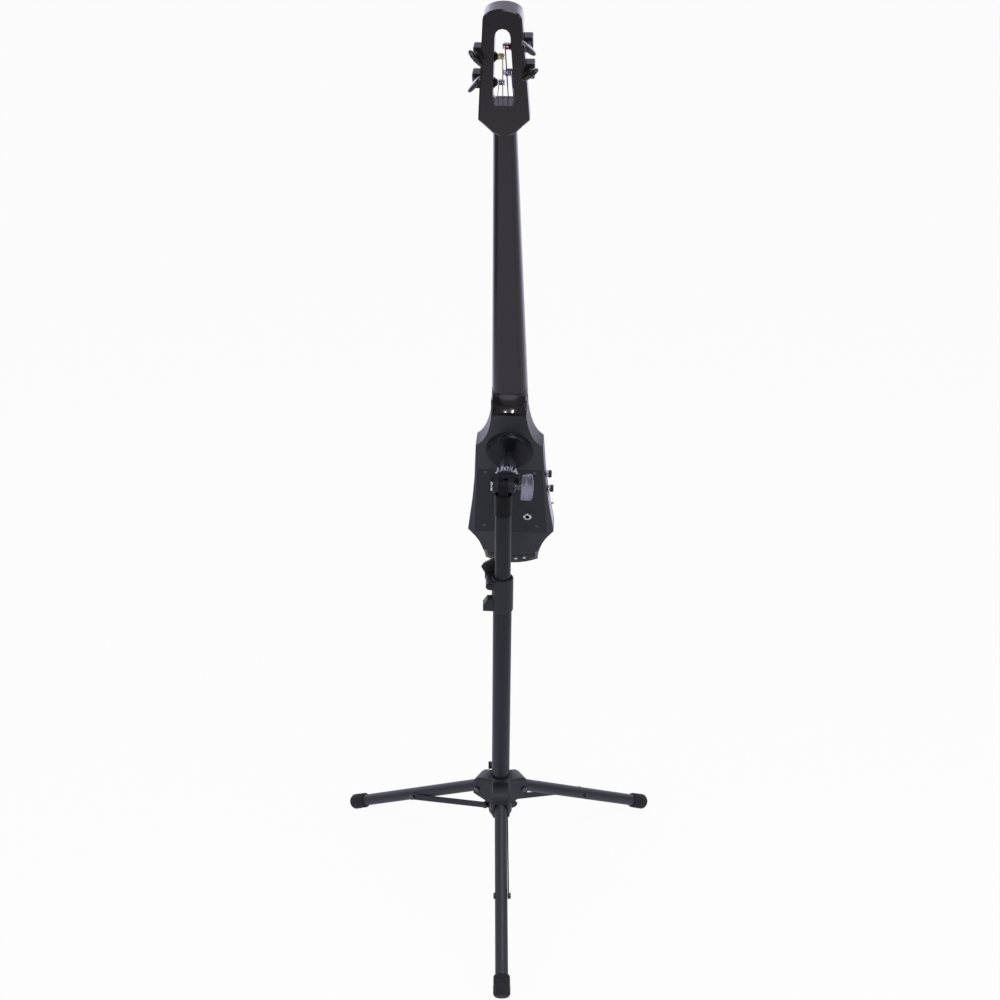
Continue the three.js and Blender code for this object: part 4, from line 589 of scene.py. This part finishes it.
fit(turned("disc_stud", profile, stud_seat), "instrument", "bright_steel", cast_paint, "mount_stud")

# The round disc, screwed to the instrument's back: pressed, with a dished face and a rolled rim.
# Its paint is the smoothest on the stand.
low, high = span("mount_disc", stud_seat)
near, far_end = sorted((abs(low.z), abs(high.z)))
dish = [(31.2 * mm, 0), (32.4 * mm, 0.5 * mm), (33.4 * mm, 1.8 * mm)]
rim = [(34.6 * mm, 2.9 * mm), (36.2 * mm, 2.4 * mm), (37.5 * mm, 1.5 * mm), (37.5 * mm, 0)]
outline = [(0, near)] + [(radius, near + height) for radius, height in dish]
outline += [(radius, far_end - height) for radius, height in rim] + [(0, far_end)]
profile = [(radius, way * height) for radius, height in eased(outline, 0.9 * mm)]
disc_black = moulded("disc_black", (0.0055, 0.0055, 0.0105), 0.24, grain=3200, depth=0.008 * mm, shine=0.24)
disc = turned("round_disc", profile, stud_seat, sides=96)
fit(disc, "instrument", "black_plastic", disc_black, "mount_disc")

# The body: a slab of hardwood, shaped all round and sprayed in a dark satin lacquer.
# Its back is bevelled along the flanks, cut in at the shoulders and steeply chamfered at the tail.
body_from_stud = Vector((0, 87 * mm, -257 * mm))
cello = seat_at(Vector(stud["pos_m"]), side_way, stud_way)
cello.translation = cello @ body_from_stud


def lacquered(name, dark, light, roughness, shine, coat, depth=0.02 * mm, chamfered=False):
    wood = Finish(bpy.data.materials.new(name))
    grain = wood.cloud(detail=4, place=wood.drawn(cello, (420, 420, 26)), rough=0.6)
    figure = wood.cloud(place=wood.drawn(cello, (34, 34, 11)))
    spray = wood.cloud(scale=1600)
    coloured = wood.mixed(0.5 * grain + 0.5 * figure, dark, light)
    rough = roughness + 0.1 * (figure - 0.5) + 0.05 * (spray - 0.5)
    if chamfered:
        # The chamfer at the tail is made darker, in a browner black, and less glossy
        chamfer_top, chamfer_depth = (17.5 * mm, 16.5 * mm), (0.2 * mm, 0.8 * mm)
        dull_rough = 0.85
        height = wood.along(instrument_up, cello.translation)
        depth_in = wood.along(stud_way, cello.translation)
        dull = wood.ramp(height, *chamfer_top) * wood.ramp(depth_in, *chamfer_depth)
        coloured = wood.mixed(dull, coloured, (0.004, 0.0032, 0.003))
        rough = rough * (1 - dull) + dull * dull_rough
    return wood.put(
        Base_Color=coloured,
        Roughness=rough,
        Normal=wood.bump(grain * 0.7 + spray * 0.3, depth),
        Specular_IOR_Level=shine,
        Coat_Weight=coat,
        Coat_Roughness=0.14,
    )


satin = {"roughness": 0.4, "shine": 0.42, "coat": 0.12, "chamfered": True}
body_lacquer = lacquered("body_lacquer", (0.0115, 0.0118, 0.0175), (0.021, 0.0212, 0.0295), **satin)
dress("body", body_lacquer, 0.5 * mm, limit=26)

# The control cover: a moulded sheet let into the back.
# Behind it sits the board that carries the controls, and the jack comes out through it.
cover_black = moulded("cover_black", (0.009, 0.009, 0.0155), 0.46, grain=2200, depth=0.03 * mm)
dress("control_cover", cover_black, 0.35 * mm)
board = Finish(bpy.data.materials.new("board_green"))
track = board.cells(420, board.drawn(cello, (1, 1, 1)))
track_edges = (0.35, 0.45)
board_green = board.put(
    Base_Color=board.mixed(board.ramp(track, *track_edges), (0.02, 0.075, 0.03), (0.05, 0.15, 0.06)),
    Roughness=0.45 + 0.15 * track,
    Normal=board.bump(track, 0.05 * mm),
)
dress("control_board", board_green, 0.1 * mm)

# The cover's four screws: blackened steel with domed heads, each with a cross cut into it.
# They stand a tenth of a millimetre off the sheet, all turned to the same angle.
screw_radius, screw_rim, screw_shoulder = 2.9 * mm, 0.35 * mm, 0.45 * mm
screw_crown, cross_floor, screw_lift = 0.52 * mm, 0.22 * mm, 0.1 * mm
shoulder_share, arm_share, slot_share, floor_share = 0.8, 0.66, 0.15, 0.85
screw_turn, screw_sides = 0.4, 64


def cross_edge(turn):
    quarter = math.pi / 2
    off_arm = abs((turn + quarter / 2) % quarter - quarter / 2)
    slot_side = screw_radius * slot_share / max(math.sin(off_arm), 1e-6)
    return min(screw_radius * arm_share / math.cos(off_arm), slot_side)


turns = [2 * math.pi * index / screw_sides for index in range(screw_sides)]
edges = [cross_edge(turn) for turn in turns]
steps = [([screw_radius] * screw_sides, 0), ([screw_radius] * screw_sides, screw_rim)]
steps += [([screw_radius * shoulder_share] * screw_sides, screw_shoulder), (edges, screw_crown)]
steps.append(([edge * floor_share for edge in edges], cross_floor))
rings = [[(0, 0, 0)]]
for spans, height in steps:
    rings.append([(wide * math.cos(turn), wide * math.sin(turn), height) for wide, turn in zip(spans, turns)])
rings.append([(0, 0, cross_floor)])
cover_back = span("control_cover", cello)[0].y
screw_places = [(-43 * mm, 102.3 * mm), (43 * mm, 102.3 * mm), (-39 * mm, 214 * mm), (39 * mm, 214 * mm)]
for index, (x, z) in enumerate(screw_places):
    at = cello @ Vector((x, cover_back + screw_lift, z))
    screw_seat = seat_at(at, side_way, instrument_up) @ Matrix.Rotation(screw_turn, 4, "Z")
    screw = solid(f"cover_screw_{index + 1}", rings, screw_seat)
    fit(screw, "instrument", "dark_steel", dark_steel)

# The jack: a nickelled socket with a turned ring against the cover.
# The ring stands a little proud, and painted shade darkens its bore a little way in from the mouth.
jack_low, jack_high = span("output_jack", cello)
jack_at = Vector(((jack_low.x + jack_high.x) / 2, 0, (jack_low.z + jack_high.z) / 2))
jack_seat = seat_at(cello @ jack_at, side_way, instrument_up)
outer, inner = -jack_low.y, -jack_high.y
bore_radius, mouth_radius, mouth_edge, mouth_bevel = 2.6 * mm, 3.3 * mm, 3.8 * mm, 0.4 * mm
ring_face, ring_radius, ring_slope, ring_height = 5.4 * mm, 6.9 * mm, 1.1 * mm, 2.2 * mm
barrel_radius, mouth_depth, step_depth = 4.6 * mm, 4 * mm, 5 * mm
ring = [(mouth_radius, outer - mouth_bevel), (mouth_edge, outer), (ring_face, outer)]
ring += [(ring_radius, outer - ring_slope), (ring_radius, outer - ring_height)]
ring += [(barrel_radius, outer - ring_height), (barrel_radius, inner), (bore_radius, inner)]
ring += [(bore_radius, outer - step_depth), (mouth_radius, outer - mouth_depth)]
nickel = Finish(bpy.data.materials.new("jack_nickel"))
# Painted shade: the nickel colour turns near black a little way into the bore
bore_depth = nickel.along(stud_way, cello.translation)
shadow_start, shadow_end = 0.6 * mm - outer, 2.2 * mm - outer
shadowed = nickel.ramp(bore_depth, shadow_start, shadow_end)
nickel_drift = nickel.cloud(scale=90, detail=3)
nickel_steel = nickel.put(
    Base_Color=nickel.mixed(shadowed, (0.66, 0.66, 0.68), (0.02, 0.02, 0.02)),
    Roughness=0.14 + 0.1 * nickel_drift,
    Normal=nickel.bump(nickel_drift, 0.01 * mm),
    Metallic=1,
)
jack = turned("jack_ring", eased(ring, 0.35 * mm, closed=True), jack_seat, sides=64, looped=True)
fit(jack, "instrument", "bright_steel", nickel_steel, "output_jack")

# The two knobs on the right flank: black caps with fine ribs on a bright skirt, pushed on their shafts.
# The skirt is the first three millimetres, and the cap runs from there to a flat top.
skirt = [(0, 1 * mm), (3.1 * mm, 1 * mm), (3.1 * mm, 0), (5.4 * mm, 0), (5.9 * mm, 0.4 * mm)]
skirt += [(5.9 * mm, 1.9 * mm), (5.2 * mm, 2.2 * mm), (5.2 * mm, 3 * mm)]
cap_radius, cap_start, cap_ribbed = 6 * mm, 3.3 * mm, 3.8 * mm
cap_top = [(6 * mm, 1.2 * mm, 1), (5.6 * mm, 0.5 * mm, 0.4), (5 * mm, 0, 0)]
cap_top += [(1.2 * mm, 0.15 * mm, 0), (0, 0.15 * mm, 0)]
knurl_count, knurl_depth = 36, 0.35 * mm
skirt_end = (3.35 * mm, 3.15 * mm)
for knob in ("volume", "tone"):
    axis_point = Vector(joints[f"{knob}_turn"]["pos_m"])
    knob_seat = seat_at(axis_point, stud_way, instrument_up)
    start, end = (corner.z for corner in span(f"{knob}_knob", knob_seat))
    profile = [(radius, start + height, 0) for radius, height in skirt]
    profile += [(cap_radius, start + cap_start, 0.6), (cap_radius, start + cap_ribbed, 1)]
    profile += [(radius, end - height, share) for radius, height, share in cap_top]
    paint = Finish(bpy.data.materials.new(f"{knob}_knob_black"))
    bare = paint.ramp(paint.along(side_way, axis_point), *skirt_end)
    knob_skin = paint.cloud(scale=2000)
    knob_finish = paint.put(
        Base_Color=paint.mixed(bare, (0.0095, 0.0095, 0.011), (0.5, 0.5, 0.52)),
        Metallic=bare,
        Roughness=0.34 - 0.12 * bare + 0.08 * (knob_skin - 0.5),
        Normal=paint.bump(knob_skin, 0.015 * mm),
        Specular_IOR_Level=0.4,
    )
    made = turned(f"{knob}_cap", profile, knob_seat, sides=144, ribs=(knurl_count, knurl_depth))
    fit(made, knob, "black_plastic", knob_finish, f"{knob}_knob")

# The plate below the knobs: bare brushed alloy, pressed into the flank.
# It carries the small toggle switch with its bright lever.
grey_plate = metal("grey_plate", (0.6, 0.61, 0.64), 0.3, cello, (5000, 300, 200), 0.006 * mm)
dress("side_plate", grey_plate, 0.2 * mm)
dress("toggle_lever", bright_steel, 0.25 * mm, limit=40)

# The neck and head: one piece of maple, lacquered in a deep brown black and polished.
# The back of the neck is rounded, and the head is a plate with an open slot for the strings.
gloss_coat = {"roughness": 0.2, "shine": 0.36, "coat": 0.2, "depth": 0.01 * mm}
neck_lacquer = lacquered("neck_lacquer", (0.0085, 0.0068, 0.0088), (0.0145, 0.0115, 0.0145), **gloss_coat)
dress("neck", neck_lacquer, 0.5 * mm, limit=30)

# The neck's heel: wood carved hollow between the arch of the body's back and the neck's own back.
# It is polished brighter than the rest, and the lamps show in it as small white spots.
hollow = {"roughness": 0.1, "shine": 0.5, "coat": 0.6, "depth": 0.004 * mm}
heel_lacquer = lacquered("heel_lacquer", (0.0085, 0.0068, 0.0088), (0.0125, 0.01, 0.0125), **hollow)
# Half of each line, in mm from the edge to the middle: the arch, the slope's foot and the neck's back
arch_line = [(26.3, 322), (21.8, 326.6), (14, 330.7), (6.2, 332.2), (0, 332.5)]
slope_foot = [(27.8, 336), (27.5, 344), (16.8, 345.5), (8.4, 345.5), (0, 345.5)]
neck_line = [(27.2, 27.5), (24.6, 19.4), (16.5, 10.6), (8.2, 9.35), (0, 9.35)]
arch_lift, foot_depth, heel_end, heel_steps = -0.06, 9.5, 360, 14
heel_crown, heel_half_width = 0.8, 28
underside_share, underside_depth = 0.96, 1.6 * mm
tuck_share, tuck_depth, tuck_reach = 0.98, 0.7 * mm, 1.5 * mm
rings = []
for step in range(heel_steps + 1):
    share = step / heel_steps
    weights = ((1 - share) ** 2, 2 * share * (1 - share), share ** 2)
    half_ring = []
    for (arch_x, arch_z), (foot_x, foot_z), (end_x, end_y) in zip(arch_line, slope_foot, neck_line):
        points = ((arch_x, arch_lift, arch_z), (foot_x, foot_depth, foot_z), (end_x, end_y, heel_end))
        x, y, z = (sum(weight * point[axis] for weight, point in zip(weights, points)) for axis in range(3))
        y -= heel_crown * weights[1] * (1 - (x / heel_half_width) ** 2)
        half_ring.append((x * mm, y * mm, z * mm))
    face = half_ring + [(-x, y, z) for x, y, z in reversed(half_ring[:-1])]
    rings.append(face + [(x * underside_share, y + underside_depth, z) for x, y, z in reversed(face)])
rings.append([(x * tuck_share, y + tuck_depth, z + tuck_reach) for x, y, z in rings[-1]])
heel = solid("neck_heel", rings, cello, capped=True)
fit(heel, "instrument", "neck_lacquer", heel_lacquer)

# The bosses in the head's slot: short cones left standing in the wood round each string post.
# They are part of the head and carry the same lacquer.
slot_low, slot_high = (830 * mm, 14.2 * mm), (913.7 * mm, 10 * mm)
boss_lengths = {"a": 5 * mm, "d": 4.2 * mm, "g": 3.2 * mm, "c": 2.1 * mm}
boss_bore, boss_root, boss_shoulder = 2.95 * mm, 8.6 * mm, 7.2 * mm
boss_waist, boss_tip, waist_share = 4.8 * mm, 3.9 * mm, 0.6
boss_sunk, boss_step = 1.5 * mm, 0.4 * mm
for note, length in boss_lengths.items():
    low, high = span(f"tuner_post_{note}", cello)
    station = (low.z + high.z) / 2
    side = 1 if low.x + high.x > 0 else -1
    up_slot = (station - slot_low[0]) / (slot_high[0] - slot_low[0])
    wall = slot_low[1] + (slot_high[1] - slot_low[1]) * up_slot
    boss_seat = seat_at(cello @ Vector((0, (low.y + high.y) / 2, station)), stud_way, instrument_up)
    cone = [(boss_bore, wall + boss_sunk), (boss_root, wall + boss_sunk), (boss_shoulder, wall - boss_step)]
    cone += [(boss_waist, wall - length * waist_share), (boss_tip, wall - length), (boss_bore, wall - length)]
    profile = [(radius, side * height) for radius, height in eased(cone, 0.5 * mm, closed=True)]
    boss = turned(f"post_boss_{note}", profile, boss_seat, sides=48, looped=True)
    fit(boss, "instrument", "neck_lacquer", neck_lacquer)

# The fingerboard and the nut: ebony, scraped and oiled, glued to the neck's front.
# Their pores run lengthways and show as fine dark lines.
pores = Finish(bpy.data.materials.new("ebony"))
pore_lines = pores.cloud(detail=3, place=pores.drawn(cello, (1500, 1500, 45)), rough=0.7)
tone_drift = pores.cloud(place=pores.drawn(cello, (60, 60, 9)))
ebony_dark, ebony_light = (0.006, 0.0055, 0.006), (0.021, 0.017, 0.017)
ebony = pores.put(
    Base_Color=pores.mixed(pore_lines * 0.6 + tone_drift * 0.4, ebony_dark, ebony_light),
    Roughness=0.42 + 0.14 * (pore_lines - 0.5),
    Normal=pores.bump(pore_lines, 0.03 * mm),
    Specular_IOR_Level=0.4,
)
dress("fingerboard", ebony, 0.3 * mm)
dress("nut", ebony, 0.2 * mm)

# The bridge on its pickup: cut maple left pale, with flecks across the grain, on a slim sensor bar.
# The strings press both down, and nothing else holds them.
flecked = Finish(bpy.data.materials.new("maple"))
year_rings = flecked.cloud(detail=3, place=flecked.drawn(cello, (60, 900, 60)), rough=0.6)
fleck_cloud = flecked.cloud(place=flecked.drawn(cello, (500, 160, 1500)))
fleck_edges = (0.6, 0.72)
flecks = flecked.ramp(fleck_cloud, *fleck_edges)
pale = flecked.mixed(year_rings, (0.36, 0.22, 0.1), (0.52, 0.34, 0.17))
maple = flecked.put(
    Base_Color=flecked.mixed(flecks * 0.6, pale, (0.24, 0.12, 0.05)),
    Roughness=0.5 + 0.12 * (year_rings - 0.5),
    Normal=flecked.bump(year_rings, 0.03 * mm),
)
dress("bridge", maple, 0.4 * mm)
dress("pickup", grey_plate, 0.3 * mm)

# The tail anchor: a moulded block let into the body's end, in a dull brown black.
# The strings' ball ends sit in it.
tail_black = moulded("tail_black", (0.0045, 0.0036, 0.0034), 0.7, grain=1800, depth=0.03 * mm)
dress("tail_anchor", tail_black, 0.6 * mm)

# The strings: steel cores wound with flat wire, their upper ends whipped in coloured silk.
# Each has a ball end in the tail anchor and three turns on its post.
silks = {"a": (0.02, 0.016, 0.03), "d": (0.55, 0.45, 0.1), "g": (0.3, 0.012, 0.07), "c": (0.13, 0.035, 0.26)}
silk_start, silk_edge, winding_pitch = 0.835, 0.4 * mm, 0.35 * mm
for note, silk in silks.items():
    wound = Finish(bpy.data.materials.new(f"string_wire_{note}"))
    height = wound.along(instrument_up, cello.translation)
    wave = wound.node("Math", {"operation": "SINE"}, {0: height * (2 * math.pi / winding_pitch)})
    winding = wave * 0.5 + 0.5
    whipped = wound.ramp(height, silk_start, silk_start + silk_edge)
    fibre = wound.cloud(scale=1800, detail=3)
    thread = wound.mixed(fibre, tinted(silk, 0.6), tinted(silk, 1.3))
    steel = wound.mixed(winding, (0.44, 0.44, 0.45), (0.7, 0.7, 0.71))
    wire = wound.put(
        Base_Color=wound.mixed(whipped, steel, thread),
        Metallic=1 - whipped,
        Roughness=0.3 + 0.4 * whipped,
        Normal=wound.bump(winding * 0.6 + fibre * 0.4, 0.05 * mm),
    )
    dress(f"string_{note}", wire, edge=0)

# The tuners: a black cast housing on the head's edge, with the worm inside it, and a bright post
# that runs through the head, with a collar at its tip and the gear at its other end.
# The key is a moulded oval, highly polished, on a stem with two collars that turns in the housing.
gloss = Finish(bpy.data.materials.new("key_gloss"))
gloss_wave = gloss.cloud(scale=60)
key_gloss = gloss.put(
    Base_Color=gloss.mixed(gloss_wave, (0.0055, 0.0055, 0.0065), (0.0095, 0.0095, 0.011)),
    Roughness=0.09 + 0.05 * gloss_wave,
    Normal=gloss.bump(gloss_wave, 0.02 * mm),
    Specular_IOR_Level=0.5,
    Coat_Weight=0.5,
    Coat_Roughness=0.04,
)
post_radius, post_collar, collar_height = 2.7 * mm, 3.6 * mm, 1.6 * mm
dimple_radius, dimple_edge, dimple_depth = 1.6 * mm, 2 * mm, 0.5 * mm
gear_radius, gear_length = 4.4 * mm, 5 * mm
key_turns = {"a": 49, "d": -49, "g": -41, "c": 35}
key_length, key_width, key_thickness, key_sunk = 26 * mm, 16 * mm, 7 * mm, 2 * mm
key_bands, key_sides, key_fullness, key_dish = 14, 48, 2.6, 0.1
stem_tip, stem_radius, worm_radius, stem_end = 2.4 * mm, 2.9 * mm, 3 * mm, 11 * mm
collar_edge, collar_radius = 3.1 * mm, 3.6 * mm
collar_end, collar_start, collar_foot = 9 * mm, 7 * mm, 5.6 * mm
inner_foot, inner_start, inner_end = -2.3 * mm, -3.7 * mm, -5.4 * mm
for note, turn in key_turns.items():
    dress(f"tuner_housing_{note}", cast_paint, 0.7 * mm)
    side = -1 if note in "ad" else 1
    low, high = span(f"tuner_post_{note}", cello)
    tip, gear = (low.x, high.x) if side > 0 else (high.x, low.x)
    centre = (low + high) / 2
    post_seat = seat_at(cello @ Vector((tip, centre.y, centre.z)), stud_way, instrument_up)
    reach = abs(gear - tip)
    post = [(0, dimple_depth), (dimple_radius, dimple_depth), (dimple_edge, 0), (post_collar, 0)]
    post += [(post_collar, collar_height), (post_radius, collar_height)]
    post += [(post_radius, reach - gear_length), (gear_radius, reach - gear_length)]
    post += [(gear_radius, reach), (0, reach)]
    profile = [(radius, side * height) for radius, height in eased(post, 0.3 * mm)]
    made = turned(f"string_post_{note}", profile, post_seat, sides=40)
    fit(made, f"post_{note}", "bright_steel", bright_steel, f"tuner_post_{note}")

    axis_point = Vector(joints[f"key_{note}_turn"]["pos_m"])
    key_seat = seat_at(axis_point, side_way, stud_way)
    key_seat = key_seat @ Matrix.Rotation(math.radians(-turn), 4, "Y")
    rings = []
    for band in range(key_bands + 1):
        height = math.cos(math.pi * band / key_bands)
        at_end = band in (0, key_bands)
        size = 0 if at_end else (1 - abs(height) ** key_fullness) ** (1 / key_fullness)
        thickness = key_thickness * (1 - key_dish * (1 - size))
        ring = []
        for index in range(key_sides):
            angle = 2 * math.pi * index / key_sides
            along = size * key_length / 2 * math.cos(angle)
            across = size * key_width / 2 * math.sin(angle)
            ring.append((along, across - collar_end - key_width / 2 + key_sunk, height * thickness / 2))
        rings.append(ring[:1] if at_end else ring)
    oval = solid(f"key_oval_{note}", rings, key_seat)
    fit(oval, f"key_{note}", "key_gloss", key_gloss, f"tuner_key_{note}")
    worm_end = -span(f"tuner_key_{note}", key_seat)[1].y
    stem = [(0, stem_end), (stem_tip, stem_end), (collar_edge, collar_end), (collar_radius, collar_start)]
    stem += [(stem_radius, collar_foot), (stem_radius, inner_foot), (collar_radius, inner_start)]
    stem += [(collar_radius, inner_end), (worm_radius, inner_end), (worm_radius, worm_end), (0, worm_end)]
    stem_seat = seat_at(axis_point, instrument_up, side_way)
    made = turned(f"key_stem_{note}", eased(stem, 0.3 * mm), stem_seat, sides=40)
    fit(made, f"key_{note}", "key_gloss", black_plastic)
